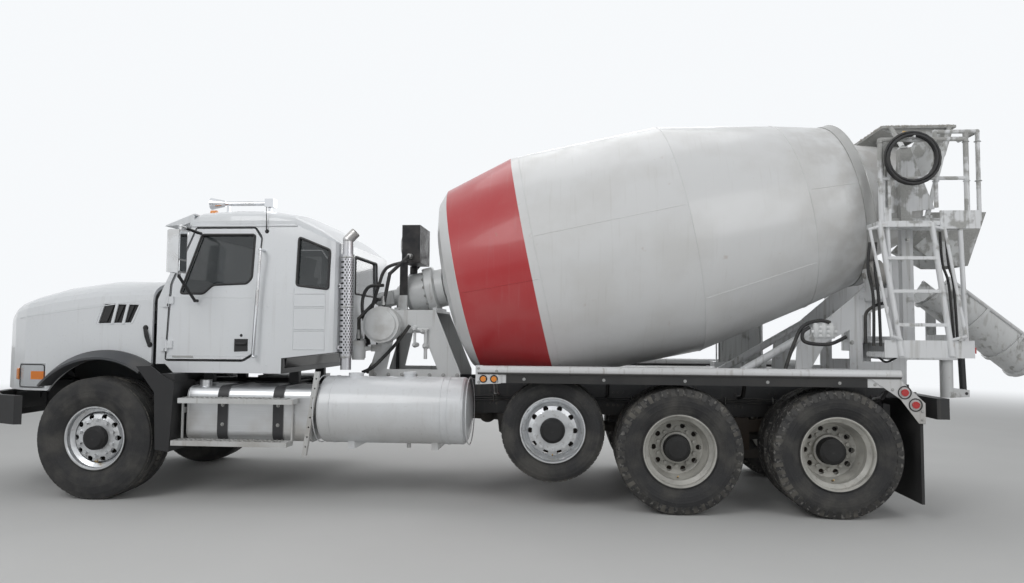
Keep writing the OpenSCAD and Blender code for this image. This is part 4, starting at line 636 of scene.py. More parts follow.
cab_white = {"rough": 0.28, "grime": 0.55, "reach": 1.35, "streaks": 0.10, "coat": 0.5}
white_paint = weathered("white_paint", (0.78, 0.80, 0.82), **cab_white)
dress(white_paint, "hood_shell")
flare_plastic, where = finish("flare_plastic", (0.06, 0.062, 0.066), 0.5)
flare_dust = where.noise(3, 5).rise(0.4, 0.7)
feed(
    flare_plastic,
    colour=(flare_dust * 0.6).blend((0.055, 0.058, 0.064), (0.15, 0.145, 0.135)),
    rough=0.42 + flare_dust * 0.3,
    normal=where.noise(380, 2).bump(0.0004, 0.4),
)
dress(flare_plastic, "hood_flares")
lens, where = finish("lamp_lens", (0.80, 0.83, 0.85), 0.08, coat=1.0)
lens_x, lens_y, lens_z = where.split()
turn_part = (lens_x - axle_x).rise(-0.805, -0.800) * lens_z.band(1.085, 1.165, 0.003)
depth = where.noise(5, 2)
feed(
    lens,
    colour=turn_part.blend(depth.blend((0.80, 0.82, 0.84), (0.55, 0.57, 0.59)), (0.80, 0.22, 0.02)),
    metal=(1 - turn_part) * 0.6,
    rough=0.10 + depth * 0.12,
    normal=lens_y.wave(420).bump(0.0012, 0.4),
)
dress(lens, "headlamps")
seal_rubber = rubber("seal_rubber", 0.12, (0.014, 0.014, 0.015))
vent_line = ((-115, 1630), (215, 1640), (290, 1810), (-55, 1815))
vent_trim = bmesh.new()
for side in (-1, 1):
    ring = ring_on("hood_shell", from_sides(grown(vent_line, 22), [side]))
    tube(vent_trim, ring, 0.004, 6, closed=True)
    for x in (30, 140):
        ends = laid_on("hood_shell", from_sides(((x, 1622), (x + 47, 1824)), [side]))
        half_wide = rearwards * 0.014
        bar = [ends[0] - half_wide, ends[0] + half_wide, ends[1] + half_wide, ends[1] - half_wide]
        slab(vent_trim, bar, rightwards * side, 0.010)
piece("hood_vent_frames", vent_trim, white_paint, "hood")
paths = [line_on("hood_shell", side, (-1000, 1672), (440, 1866.4), 40, -0.002) for side in (-1, 1)]
round_bars("hood_swage_lines", paths, 0.0045, white_paint, "hood", sides=6)
latch_mesh = bmesh.new()
for side in (-1, 1):
    ends = laid_on("hood_shell", from_sides(((365, 1590), (412, 1430)), [side]))
    for dx in (-0.010, 0, 0.010):
        off = Vector((dx, side * 0.014, 0))
        middle = (ends[0] + ends[1]) / 2 + off * 1.5
        tube(latch_mesh, [ends[0] + off, middle, ends[1] + off], 0.008)
    for end in ends:
        bolt(latch_mesh, end, rightwards * side, 0.034, 0.026)
piece("hood_latches", latch_mesh, seal_rubber, "hood")
chrome, where = finish("polished_chrome", (0.72, 0.73, 0.75), 0.1, metal=1)
film = where.noise(4, 5).rise(0.42, 0.75)
feed(
    chrome,
    colour=(film * 0.5).blend((0.74, 0.75, 0.77), (0.42, 0.40, 0.37)),
    rough=0.08 + film * 0.25,
    normal=where.noise(60, 3).bump(0.0004, 0.15),
)
paths = []
for z in range(1120, 1617, 62):
    half = 425 - (z - 1080) * 0.05
    spots = [(half * (k / 10 - 1), z) for k in range(21)]
    path = laid_on("hood_grille", from_front(-2000, spots), 0.006)
    if len(path) > 3:
        paths.append(path)
round_bars("grille_bars", paths, 0.009, chrome, "hood")
lamp_outline = rectangle(-950, -650, 1010, 1228)
paths = [ring_on("headlamps", from_sides(lamp_outline, [side])) for side in (-1, 1)]
round_bars("headlamp_bezels", paths, 0.006, grained, "hood", closed=True)
amber, where = finish("amber_lens", (0.85, 0.25, 0.02), 0.15, coat=1.0)
ribs = where.split()[0].wave(500)
feed(
    amber,
    colour=ribs.rise(-0.5, 1).blend((0.75, 0.19, 0.015), (0.95, 0.36, 0.04)),
    rough=0.1 + where.noise(30) * 0.15,
    normal=ribs.bump(0.001, 0.4),
)
signal_mesh = bmesh.new()
for side in (-1, 1):
    corners = laid_on("hood_shell", from_sides(rectangle(-1010, -962, 1080, 1190), [side]))
    if len(corners) == 4:
        slab(signal_mesh, corners, rightwards * side, 0.016)
piece("hood_side_signals", signal_mesh, amber, "hood")

# Cab
# Pressed steel cab in the hood's white, with a crowned roof and black rubber round each pane. The cab is
# spot welded, a drip rail runs over the doors, and its lower rear is black.


def painted_over(look, mask, colour):
    """Lays a second colour over a material's own, where the mask is 1."""
    skin = look.node_tree.nodes["Principled BSDF"].inputs
    own = Wire(look.node_tree, skin["Base Color"].links[0].from_socket)
    feed(look, colour=mask.blend(own, colour))


dress(white_paint, "cab_roof", "door_left", "door_right")
cab_paint = weathered("cab_paint", (0.78, 0.80, 0.82), **cab_white)
where = given(cab_paint.node_tree, "TexCoord", "Object")
cab_x, _, cab_z = where.split()
behind = cab_x - axle_x
above_sill = cab_z - (behind * 0.116 + 1.117)
underside = behind.rise(1.700, 1.704) * (1 - above_sill.rise(-0.002, 0.002))
black = (where.noise(6, 4) * 0.4).blend((0.012, 0.012, 0.013), (0.08, 0.075, 0.07))
painted_over(cab_paint, underside, black)
dress(cab_paint, "cab_shell")
glass, where = finish("tinted_glass", (0.02, 0.027, 0.028), 0.03, coat=1.0, alpha=0.62)
haze = where.noise(2.5, 4).rise(0.45, 0.8)
feed(glass, colour=(haze * 0.25).blend((0.015, 0.022, 0.024), (0.12, 0.13, 0.13)), rough=0.02 + haze * 0.08)
dress(glass, "cab_glass", "door_glass_left", "door_glass_right")
windshield = ((-880, 2085), (880, 2085), (820, 2530), (-820, 2530))
side_window = ((1840, 2010), (2130, 1975), (2130, 2330), (1840, 2450))
rear_window = ((-420, 1960), (420, 1960), (400, 2330), (-400, 2330))
cab_seals = bmesh.new()
panes = [(from_front(-500, grown(windshield, 16)), 0.013)]
panes += [(from_sides(grown(side_window, 12), [side]), 0.012) for side in (-1, 1)]
panes += [([(at(2900, y, z), -rearwards) for y, z in grown(rear_window, 12)], 0.012)]
for lines, radius in panes:
    tube(cab_seals, ring_on("cab_shell", lines), radius, closed=True)
piece("cab_window_seals", cab_seals, seal_rubber)
wiper_mesh = bmesh.new()
for foot, tip in ((-560, -140), (120, 520)):
    spots = [(foot + (tip - foot) * k / 8, 2062 + 34 * k / 8) for k in range(9)]
    arm = laid_on("cab_shell cab_glass", from_front(-500, spots), 0.022)
    tube(wiper_mesh, arm, [0.009 - 0.0006 * k for k in range(len(arm))])
    tube(wiper_mesh, [place + Vector((0.006, 0, 0.012)) for place in arm[3:]], 0.004, 6)
piece("wipers", wiper_mesh, grained)
paths = [line_on("cab_shell", side, (720, 2572), (2176, 2572), 28, 0.006) for side in (-1, 1)]
round_bars("drip_rails", paths, 0.008, white_paint)
screws = ((520, 1240), (520, 1500), (520, 1800), (1560, 1250), (1900, 1250), (2150, 1250), (1560, 1800))
bolts_on("cab_side_screws", "cab_shell", from_sides(screws), 0.014, 0.006, white_paint)
pressings = [((1808, z), (2112, z)) for z in (1400, 1575, 1590, 1790, 1805, 1920)]
pressings += [((1808, 1400), (1808, 1975)), ((2112, 1400), (2112, 1955))]
paths = [line_on("cab_shell", side, *ends, 20, 0.001) for side in (-1, 1) for ends in pressings]
round_bars("cab_panel_pressings", paths, 0.006, white_paint, sides=6)
mast = bmesh.new()
foot = skin_at("cab_shell", at(1514, -1600, 2519), rightwards)
bolt(mast, foot, -rightwards, 0.026, 0.018)
whip = ((0, 0), (0, 0.03), (-0.006, 0.235))
tube(mast, [foot + Vector((back, -0.016, up)) for back, up in whip], [0.006, 0.005, 0.003])
piece("roof_whip_aerial", mast, seal_rubber)
spots = [(side * y, 1990) for side in (-1, 1) for y in range(150, 800, 38)]
middles = laid_on("cab_shell", from_front(-700, spots), 0.003)
paths = [[place - rightwards * 0.012, place + rightwards * 0.012] for place in middles]
round_bars("cowl_slots", paths, 0.005, seal_rubber, sides=6)

# Doors
# Steel doors with a black seal in the gap, a rubber channel round the window, a pull handle with its
# lock, and two exposed hinges.
door_line = ((570, 1285), (600, 2010), (815, 2560), (1400, 2560), (1470, 2460), (1420, 1340), (1330, 1285))
window_line = ((705, 1925), (930, 1925), (1020, 2010), (1340, 2020), (1385, 2070), (1395, 2480), (880, 2480))
handle_plate = ((1245, 1372), (1375, 1378), (1375, 1492), (1245, 1492))
for side, word in hands:
    body = "door_" + word
    out = rightwards * side
    ring = ring_on(body, from_sides(grown(window_line, 9), [side]))
    round_bars(body + "_window_channel", [ring], 0.011, seal_rubber, body, closed=True)
    ring = ring_on("cab_shell " + body, from_sides(grown(door_line, 4), [side]))
    round_bars("cab_door_seal_" + word, [ring], 0.005, seal_rubber, sides=6, closed=True)
    handle = bmesh.new()
    corners = laid_on(body, from_sides(handle_plate, [side]))
    slab(handle, corners, out, 0.007)
    front = corners[0].lerp(corners[3], 0.62) + rearwards * 0.012 + out * 0.012
    back = corners[1].lerp(corners[2], 0.62) - rearwards * 0.012 + out * 0.012
    tube(handle, [front, front.lerp(back, 0.5) + out * 0.012, back], 0.013, 10)
    for lock in laid_on(body, from_sides([(1310, 1525)], [side])):
        bolt(handle, lock, out, 0.018, 0.008)
    piece(body + "_handle", handle, grained, body)
    paths = [line_on(body, side, (600, z), (1400, z), 20, -0.002) for z in (1330, 1880)]
    round_bars(body + "_swage_lines", paths, 0.005, white_paint, body, sides=6)
    strip = bmesh.new()
    slab(strip, laid_on(body, from_sides(rectangle(640, 845, 1312, 1330), [side])), out, 0.004)
    piece(body + "_strip", strip, zinc, body)

# Mirrors
# Bright mirror heads on black tube arms, each with a tall flat glass and a round-cornered convex
# glass below.
shell, where = finish("mirror_shell", (0.70, 0.71, 0.72), 0.25, metal=0.6)
_, shell_y, shell_z = where.split()
head_part = shell_z.rise(2.07, 2.09) * shell_y.maths("ABSOLUTE").rise(1.245, 1.255)
shell_film = where.noise(5, 5).rise(0.4, 0.75)
head_colour = (shell_film * 0.5).blend((0.72, 0.73, 0.74), (0.40, 0.39, 0.37))
feed(
    shell,
    colour=head_part.blend((0.016, 0.016, 0.017), head_colour),
    metal=head_part * 0.6,
    rough=0.45 - head_part * 0.25 + shell_film * 0.2,
)
dress(shell, "mirror_left", "mirror_right")
mirror_glass, where = finish("mirror_glass", (0.80, 0.82, 0.84), 0.03, metal=1)
feed(
    mirror_glass,
    colour=where.noise(3).rise(0.4, 0.8).blend((0.78, 0.80, 0.82), (0.60, 0.62, 0.63)),
    rough=0.02 + where.noise(9).rise(0.5, 0.8) * 0.06,
)
for side, word in hands:
    panes = bmesh.new()
    for low, high in ((2215, 2465), (2105, 2200)):
        spots = [(side * y, z) for y, z in rectangle(1290, 1410, low, high)]
        corners = [skin_at("mirror_" + word, at(1500, y, z), -rearwards) or at(890, y, z) for y, z in spots]
        slab(panes, corners, rearwards, 0.004)
    piece("mirror_glass_" + word, panes, mirror_glass, "door_" + word)

# Cab interior
# Dark moulded dashboard, air seats in grey cloth with stitched flutes, and a dished steering wheel.
# All of it shows only through the glass.
moulded, where = finish("moulded_interior", (0.05, 0.05, 0.055), 0.6)
feed(
    moulded,
    colour=where.noise(4).rise(0.3, 0.7).blend((0.045, 0.045, 0.05), (0.09, 0.09, 0.095)),
    normal=where.noise(700, 2).bump(0.0006, 0.6),
)
dress(moulded, "cab_interior")
seat_cloth, where = finish("seat_cloth", (0.10, 0.11, 0.13), 0.9)
_, cloth_y, cloth_z = where.split()
threads = cloth_y.wave(900) * cloth_z.wave(900)
feed(
    seat_cloth,
    colour=threads.rise(-1, 1).blend((0.06, 0.07, 0.085), (0.14, 0.15, 0.17)),
    normal=threads.bump(0.0008, 0.6),
)
paths = []
seat_front = at(1000, 0, 0).x
for y in [side * y for side in (-1, 1) for y in range(315, 626, 62)]:
    back = skin_at("cab_interior", at(300, y, 2050), rearwards)
    run = laid_on("cab_interior", from_front(300, [(y, z) for z in range(1800, 2180, 40)]))
    run = [place for place in run if place.x > seat_front]
    if back and back.x > seat_front and len(run) > 3:
        paths.append(run)
round_bars("seat_back_flutes", paths, 0.020, seat_cloth)

# Horn, exhaust and grab rails
# Polished roof horn, an upright stack with a perforated heat shield and a dulled tip, and bright grab
# rails in cast brackets behind the doors.
dress(chrome, "air_horn", "grab_rails")
stack, where = finish("exhaust_steel", (0.55, 0.55, 0.56), 0.25, metal=1)
stack_x, stack_y, stack_z = where.split()
hot = stack_z.rise(2.30, 2.62)
holes = (stack_z.wave(125) * (stack_x + stack_y).wave(190)).rise(0.30, 0.45) * stack_z.band(1.35, 2.25, 0.01)
feed(
    stack,
    colour=holes.blend(hot.blend((0.55, 0.55, 0.57), (0.50, 0.48, 0.45)), (0.03, 0.03, 0.03)),
    rough=0.18 + where.noise(12, 5) * 0.3,
    normal=(1 - holes).bump(0.002, 0.6),
)
dress(stack, "exhaust_stack")
clamp_mesh = bmesh.new()
for z in (1330, 1800, 2270):
    tube(clamp_mesh, circle(at(2295, -930, z), 0.064, 24, rearwards, rightwards), 0.006, 6, closed=True)
    bolt(clamp_mesh, at(2295, -994, z), -rightwards, 0.018, 0.012)
piece("exhaust_clamps", clamp_mesh, zinc)

# Fuel tank, steps and side boxes
# Spun aluminium fuel tank held by two black straps, pressed steps with a raised grip pattern, and the
# battery box and air tanks on the right.
tank_metal, where = finish("tank_aluminium", (0.60, 0.61, 0.62), 0.38, metal=0.85)
tank_x, _, tank_z = where.split()
tank_x = tank_x - axle_x
strap = tank_x.band(1.135, 1.235, 0.001).either(tank_x.band(1.665, 1.765, 0.001))
brushed = where.noise(1, 3, (3, 160, 160))
tank_dust = where.noise(2.2, 6).rise(0.4, 0.7) * (1 - tank_z.rise(0.5, 1.1))
base = (tank_dust * 0.75).blend(brushed.blend((0.56, 0.57, 0.58), (0.66, 0.67, 0.68)), (0.33, 0.30, 0.26))
feed(
    tank_metal,
    colour=strap.blend(base, (0.035, 0.035, 0.037)),
    metal=(1 - strap) * (0.85 - tank_dust * 0.5),
    rough=0.32 + tank_dust * 0.4 + strap * 0.2,
    normal=brushed.bump(0.0004, 0.3),
)
dress(tank_metal, "fuel_tank")
ways = circle(Vector(), 1, 48, rightwards, upward)
paths = [laid_on("fuel_tank", [(at(x, -765, 795) + way * 0.9, -way) for way in ways]) for x in (850, 2020)]
round_bars("fuel_tank_seams", paths, 0.006, tank_metal, sides=6, closed=True)
spots = [(x, z) for x in (1185, 1715) for z in (700, 880)]
bolts_on("tank_strap_bolts", "fuel_tank", from_sides(spots, [-1]), 0.022, 0.016)
step_paint = weathered("step_paint", (0.66, 0.67, 0.67), 0.42, grime=0.8, reach=1.5, streaks=0.35)
dress(step_paint, "cab_steps", "side_boxes")
paths = []
for z, x0, x1 in ((950, 850, 1890), (565, 800, 1840)):
    for row in range(4):
        for k in range((x1 - x0) // 46):
            start = at(x0 + k * 46 + (row % 2) * 23, -1115 - row * 36, z + 60)
            place = skin_at("cab_steps", start, -upward)
            if place and abs(place.z - z / 1000) < 0.03:
                paths.append(circle(place + upward * 0.003, 0.009, 8, rearwards, rightwards))
round_bars("step_grip_rings", paths, 0.003, zinc, sides=5, closed=True)
spots = [(x, z) for x in (860, 1160, 1460, 1560, 1980) for z in (620, 920)]
bolts_on("side_box_latches", "side_boxes", from_sides(spots, [1]), 0.018, 0.010)

# Water tank
# Rolled steel tank in white with dished ends, a welded seam at each end, a drain below and a filler
# cap on top.
dress(white_paint, "water_tank")
cap_mesh = bmesh.new()
cap_steps = ((-0.01, 0.055), (0.02, 0.055), (0.022, 0.062), (0.04, 0.062), (0.046, 0.05))
turned(cap_mesh, at(2900, -880, 1150), upward, cap_steps, 24)
turned(cap_mesh, at(2900, -880, 528), -upward, ((-0.02, 0.02), (0.04, 0.02)), 12)
piece("water_tank_fittings", cap_mesh, white_paint)
paths = [circle(at(x, -880, 840), 0.311, 48, rightwards, upward) for x in (2075, 3475)]
round_bars("water_tank_welds", paths, 0.005, white_paint, sides=6, closed=True)

# Front pedestal and drum drive
# Folded steel pedestal that carries the drum's gearbox and hydraulic motor, an oil reservoir, a finned
# oil cooler and thick black hoses. Bolt circles hold the gearbox to its flange.
drum_head = at(3137, 0, 2061)
tilt = math.radians(11.7)
drum_axis = Vector((math.cos(tilt), 0, math.sin(tilt)))
drum_up = Vector((-math.sin(tilt), 0, math.cos(tilt)))


def on_drum(s, r, angle):
    """A point at s metres along the drum's axis and r from it; angle 0 is up and 90 the right side."""
    return drum_head + drum_axis * s + (drum_up * math.cos(angle) + rightwards * math.sin(angle)) * r


def run_through(y, marks, sway=0):
    """Places along a soft curve through marks of x and z, in the plane at y or swaying off it."""
    marks = [marks[0], *marks, marks[-1]]
    run = []
    for k in range(len(marks) - 3):
        for n in range(8):
            t = n / 8
            weights = (
                -t + 2 * t * t - t ** 3,
                2 - 5 * t * t + 3 * t ** 3,
                t + 4 * t * t - 3 * t ** 3,
                t ** 3 - t * t,
            )
            x, z = [sum(w * marks[k + m][c] for m, w in enumerate(weights)) / 2 for c in (0, 1)]
            run.append(at(x, y + sway * math.sin((k + t) * 1.3), z))
    return run


worn_white = weathered("worn_white_paint", (0.72, 0.73, 0.73), 0.38, grime=0.6, reach=1.6, streaks=0.45,
                       coat=0.2)
dress(worn_white, "front_pedestal", "drum_drive")
hydraulic_rubber = rubber("hydraulic_hose_rubber", 0.3, (0.02, 0.02, 0.021))
dress(hydraulic_rubber, "hoses")
fins, where = finish("cooler_fins", (0.06, 0.06, 0.065), 0.45, metal=0.5)
fins_z = where.split()[2]
reservoir = 1 - fins_z.rise(1.948, 1.952)
fin_dust = where.noise(6, 4).rise(0.4, 0.7)
black_fins = (fin_dust * 0.5).blend((0.04, 0.04, 0.043), (0.16, 0.15, 0.14))
white_part = (fin_dust * 0.5).blend((0.70, 0.71, 0.71), (0.40, 0.38, 0.35))
feed(
    fins,
    colour=reservoir.blend(black_fins, white_part),
    metal=0.5 - reservoir * 0.5,
    rough=0.4 + fin_dust * 0.3,
    normal=(fins_z.wave(900) * (1 - reservoir)).bump(0.003, 0.6),
)
dress(fins, "oil_cooler")
lines = []
for s, r, count in ((-0.675, 0.225, 16), (-1.39, 0.07, 6)):
    lines += [(on_drum(s, r, 2 * math.pi * k / count + 0.1), drum_axis) for k in range(count)]
bolts_on("gearbox_bolts", "drum_drive", lines, 0.026, 0.018)
spots = [(x, 1140) for x in range(2440, 3300, 140)]
bolts_on("pedestal_bolts", "front_pedestal", from_sides(spots), 0.026, 0.016, far=0.45)
hose_loops = (
    # y, then x and z of the places that the hose runs through
    (-400, ((2747, 2285), (2531, 2219), (2453, 2031), (2390, 1791), (2345, 1600), (2340, 1360))),
    (-420, ((2512, 2040), (2370, 2030), (2310, 1950), (2300, 1816), (2330, 1657), (2380, 1420))),
    (-500, ((2806, 1634), (2676, 1463), (2546, 1319), (2440, 1215), (2330, 1160))),
    (-330, ((2437, 1500), (2431, 1316), (2380, 1230), (2330, 1140))),
)
paths = [run_through(y, marks, 20) for y, marks in hose_loops]
round_bars("hydraulic_hose_loops", paths, 0.017, hydraulic_rubber, sides=10)
valve_mesh = bmesh.new()
filter_steps = (
    (0, 0.044), (0.008, 0.052), (0.140, 0.052), (0.146, 0.044), (0.152, 0.058), (0.190, 0.058),
    (0.200, 0.030), (0.240, 0.018),
)
turned(valve_mesh, at(2290, -430, 1300), upward, filter_steps, 20)
for x, z, r in ((2850, 1600, 0.040), (2930, 1580, 0.032), (2850, 1440, 0.028), (2960, 1430, 0.036)):
    steps = ((0.330, 0.8 * r), (0.440, r), (0.452, 0.7 * r), (0.500, 0.62 * r), (0.520, 0.3 * r))
    turned(valve_mesh, at(x, 0, z), -rightwards, steps, 16)
for x0, z0, x1, z1, r in (
    (2810, 1590, 2990, 1600, 0.014), (2850, 1420, 2850, 1620, 0.014), (2960, 1300, 2960, 1600, 0.018),
):
    tube(valve_mesh, [at(x0, -455, z0), at(x1, -455, z1)], r)
piece("valves_and_filter", valve_mesh, worn_white)
ferrule_steps = ((0, 0.026), (0.03, 0.026), (0.032, 0.023), (0.055, 0.023), (0.057, 0.021), (0.09, 0.021))
hose_ends = bmesh.new()
for spot, way in (
    ((2440, -95, 1914), (0, -1, -0.1)), ((2440, 95, 1914), (0, 1, 0)),
    ((2755, -268, 2350), (0, -1, 0)), ((2755, 268, 2350), (0, 1, 0)),
    ((2295, -520, 1500), (0, 0, 1)), ((2540, -520, 1835), (0, 0, 1)),
):
    turned(hose_ends, at(*spot), Vector(way).normalized(), ferrule_steps, 12)
piece("hose_ferrules", hose_ends, zinc)
paths = []
for k in range(4):
    wide, tall = rightwards * (0.060 + k * 0.048), upward * (0.050 + k * 0.040)
    hoop = circle(at(2200, 0, 2485), 1, 32, wide, tall)
    paths.append(laid_on("oil_cooler", [(start, rearwards) for start in hoop], 0.012))
round_bars("cooler_fan_guard", paths, 0.0035, zinc, sides=5, closed=True)

# Drum
# Welded steel drum in white with one dull red band round its front cone. Plates meet in low weld
# seams, the shell has shallow dents and cement film, and a bolted hatch closes the belly.


def to_axis(s, angle):
    """The line to the drum's axis at s, from outside the shell."""
    return on_drum(s, 1.6, angle), on_drum(s, 0, angle) - on_drum(s, 1, angle)


drum_paint, where = finish("drum_paint", (0.74, 0.745, 0.745), 0.36, coat=0.3)
shell_x, _, shell_z = where.split()
drum_s = (shell_x - drum_head.x) * drum_axis.x + (shell_z - drum_head.z) * drum_axis.z
red = (drum_s + where.noise(3, 3) * 0.004).band(0.206, 0.906, 0.003)
film = where.noise(2.4, 6).rise(0.38, 0.72)
spill = drum_s.rise(3.0, 4.4) * where.noise(5, 6).rise(0.35, 0.65)
runs_round = where.noise(1, 4, (34, 2.2, 2.2)).rise(0.55, 0.8)
rust = where.noise(9, 5).rise(0.68, 0.82)
roller_ring = drum_s.band(4.012, 4.108, 0.004)
paint = red.blend((0.74, 0.745, 0.745), (0.50, 0.040, 0.045))
paint = ((film * 0.22 + runs_round * 0.16) * (1 - red * 0.65)).blend(paint, (0.50, 0.48, 0.44))
paint = (spill * 0.55).blend(paint, (0.42, 0.40, 0.37))
paint = (rust * 0.35).blend(paint, (0.33, 0.20, 0.12))
feed(
    drum_paint,
    colour=roller_ring.blend(paint, (0.46, 0.46, 0.45)),
    metal=roller_ring * 0.4,
    rough=0.30 + film * 0.22 + spill * 0.3,
    normal=(where.noise(1.3, 2) * 0.012 + where.noise(40, 3) * 0.0003).bump(1.0, 0.7),
)
dress(drum_paint, "drum_shell")
seams = bmesh.new()
for s in (0.985, 2.40, 3.52, 4.10):
    loop = laid_on("drum_shell", [to_axis(s, 2 * math.pi * k / 96) for k in range(96)])
    tube(seams, loop, 0.0045, 6, closed=True)
for start, stop, angles in (
    (0.24, 0.96, (-100, 20, 140)), (1.0, 2.38, (-81, 39, 159)),
    (2.42, 3.50, (-125, -5, 115)), (3.55, 3.98, (-83, 37, 157)),
):
    for angle in angles:
        stations = [start + (stop - start) * k / 24 for k in range(25)]
        tube(seams, laid_on("drum_shell", [to_axis(s, math.radians(angle)) for s in stations]), 0.004, 6)
piece("drum_weld_seams", seams, drum_paint, "drum")


def squared(c):
    """A cosine or sine made fuller, so that a circle becomes a square with round corners."""
    return math.copysign(abs(c) ** 0.5, c)


hatch = bmesh.new()
hatch_middle = 1.95
hatch_angle = math.radians(112)
turns = [2 * math.pi * k / 36 for k in range(36)]
along = [hatch_middle + 0.27 * squared(math.cos(t)) for t in turns]
around = [hatch_angle + 0.16 * squared(math.sin(t)) for t in turns]
hatch_outline = laid_on("drum_shell", [to_axis(s, angle) for s, angle in zip(along, around)])
tube(hatch, hatch_outline, 0.010, closed=True)
for place in hatch_outline[::2]:
    out = place - on_drum((place - drum_head).dot(drum_axis), 0, 0)
    bolt(hatch, place + out.normalized() * 0.006, out, 0.024, 0.014)
piece("drum_hatch_rim", hatch, drum_paint, "drum")
ring = circle(on_drum(4.695, 0, 0), 0.478, 64, drum_up, rightwards)
round_bars("drum_mouth_lip", [ring], 0.012, drum_paint, "drum", closed=True)
bare_steel = weathered("cement_worn_steel", (0.36, 0.35, 0.34), 0.55, soil=(0.44, 0.43, 0.40), grime=0.9,
                       reach=6.0, streaks=0.5, metal=0.5, peel=0.001)
dress(bare_steel, "drum_blades", "roller_left", "roller_right")

# Rear pedestal and hoppers
# White welded steel under years of cement splash: the charge hopper's mouth wears a crust of set
# concrete, and grey runs go down its sides, the discharge hopper and the pedestal.


def splashed(name, colour, cover, low, high):
    """Paint with cement splashes that thicken between two heights."""
    made, where = finish(name, colour, 0.45)
    grit = where.noise(70, 5)
    runs = where.noise(1, 4, (30, 30, 1.6)).rise(0.5, 0.7)
    level_up = where.split()[2].rise(low, high)
    crust = where.noise(7, 8) + level_up * 0.35 + runs * 0.08
    crust = crust.rise(0.62 - cover * 0.2, 0.74 - cover * 0.2)
    rusty = where.noise(12, 5).rise(0.66, 0.78)
    paint = (rusty * 0.35).blend((runs * 0.45).blend(colour, (0.40, 0.39, 0.36)), (0.26, 0.15, 0.09))
    feed(
        made,
        colour=crust.blend(paint, grit.blend((0.34, 0.34, 0.33), (0.52, 0.52, 0.50))),
        rough=0.42 + crust * 0.5,
        normal=(crust * (0.5 + grit)).bump(0.006, 0.8),
    )
    return made


hopper_finish = splashed("hopper_splashes", (0.68, 0.69, 0.69), 0.30, 3.25, 3.75)
chute_finish = splashed("chute_splashes", (0.70, 0.71, 0.71), 0.10, 1.6, 3.4)
pedestal_finish = splashed("pedestal_splashes", (0.73, 0.74, 0.75), 0.0, 1.8, 4.2)
dress(hopper_finish, "charge_hopper")
dress(chute_finish, "discharge_hopper", "chute_swing", "chute", "stored_chutes")
dress(pedestal_finish, "rear_pedestal")
lumps = random.Random(11)
crust_mesh = bmesh.new()
for start, stop in (
    ((7440, -436), (8080, -436)), ((7440, 436), (8080, 436)),
    ((7425, -430), (7425, 430)), ((8088, -430), (8088, 430)),
):
    for k in range(64):
        x, y = [a + (b - a) * k / 63 for a, b in zip(start, stop)]
        size = lumps.uniform(0.008, 0.022)
        lump = bmesh.ops.create_icosphere(crust_mesh, subdivisions=2, radius=size)["verts"]
        shift = Vector((lumps.uniform(-0.008, 0.008), lumps.uniform(-0.008, 0.008), -size * 0.35))
        for vert in lump:
            rough = 1 + 0.35 * math.sin(vert.co.x * 400 + k) * math.cos(vert.co.y * 330 + vert.co.z * 250)
            vert.co = vert.co * rough
            vert.co.z *= 0.7
            vert.co += at(x, y, 3600) + shift
crust_look, where = finish("set_concrete", (0.46, 0.45, 0.42), 0.95)
stones = where.noise(90, 6)
feed(
    crust_look,
    colour=stones.blend((0.33, 0.32, 0.29), (0.60, 0.58, 0.54)),
    normal=stones.bump(0.004, 0.9),
)
piece("hopper_rim_crust", crust_mesh, crust_look, crease=70)
spots = [(x, 1180) for x in range(6700, 7501, 200)]
spots += [(7300, 1700), (7300, 2000), (7560, 1700), (7560, 2000), (7100, 1500), (7480, 2450), (7480, 2600)]
bolts_on("rear_pedestal_bolts", "rear_pedestal", from_sides(spots), 0.028, 0.018, far=0.85)
rear_hoses = bmesh.new()
rear_runs = (
    # y, radius, then x and z of the places that the hose runs through
    (-750, 0.017, ((6380, 1240), (6460, 1472), (6548, 1647), (6697, 1702), (6802, 1681))),
    (-780, 0.017, ((6600, 1640), (6538, 1590), (6560, 1505), (6768, 1486), (6937, 1563))),
    (-1000, 0.014, ((7011, 1500), (7011, 1669), (7023, 1773), (7105, 1836), (7186, 1858))),
    (-1060, 0.013, ((7038, 2389), (7020, 2150), (7060, 1900), (7055, 1440))),
    (-1060, 0.013, ((7090, 2389), (7080, 2150), (7105, 1900), (7116, 1440))),
    (-1060, 0.011, ((7634, 2480), (7650, 2200), (7700, 2000), (7734, 1440))),
    (-1060, 0.011, ((7683, 2480), (7700, 2200), (7740, 2000), (7763, 1440))),
    (-900, 0.010, ((7146, 1390), (7216, 1334), (7298, 1366), (7381, 1430))),
)
for y, radius, marks in rear_runs:
    tube(rear_hoses, run_through(y, marks), radius, 10)
piece("rear_hydraulic_hoses", rear_hoses, hydraulic_rubber)
control_valves = bmesh.new()
for z, half_long in ((1560, 95), (1600, 115), (1640, 95)):
    tube(control_valves, [at(6730 - half_long, -760, z), at(6730 + half_long, -760, z)], 0.022, 12)
knob_steps = ((0, 0.016), (0.02, 0.03), (0.12, 0.03), (0.14, 0.016))
for x in (6660, 6730, 6800):
    turned(control_valves, at(x, -760, 1540), upward, knob_steps, 14)
piece("rear_control_valves", control_valves, worn_white)
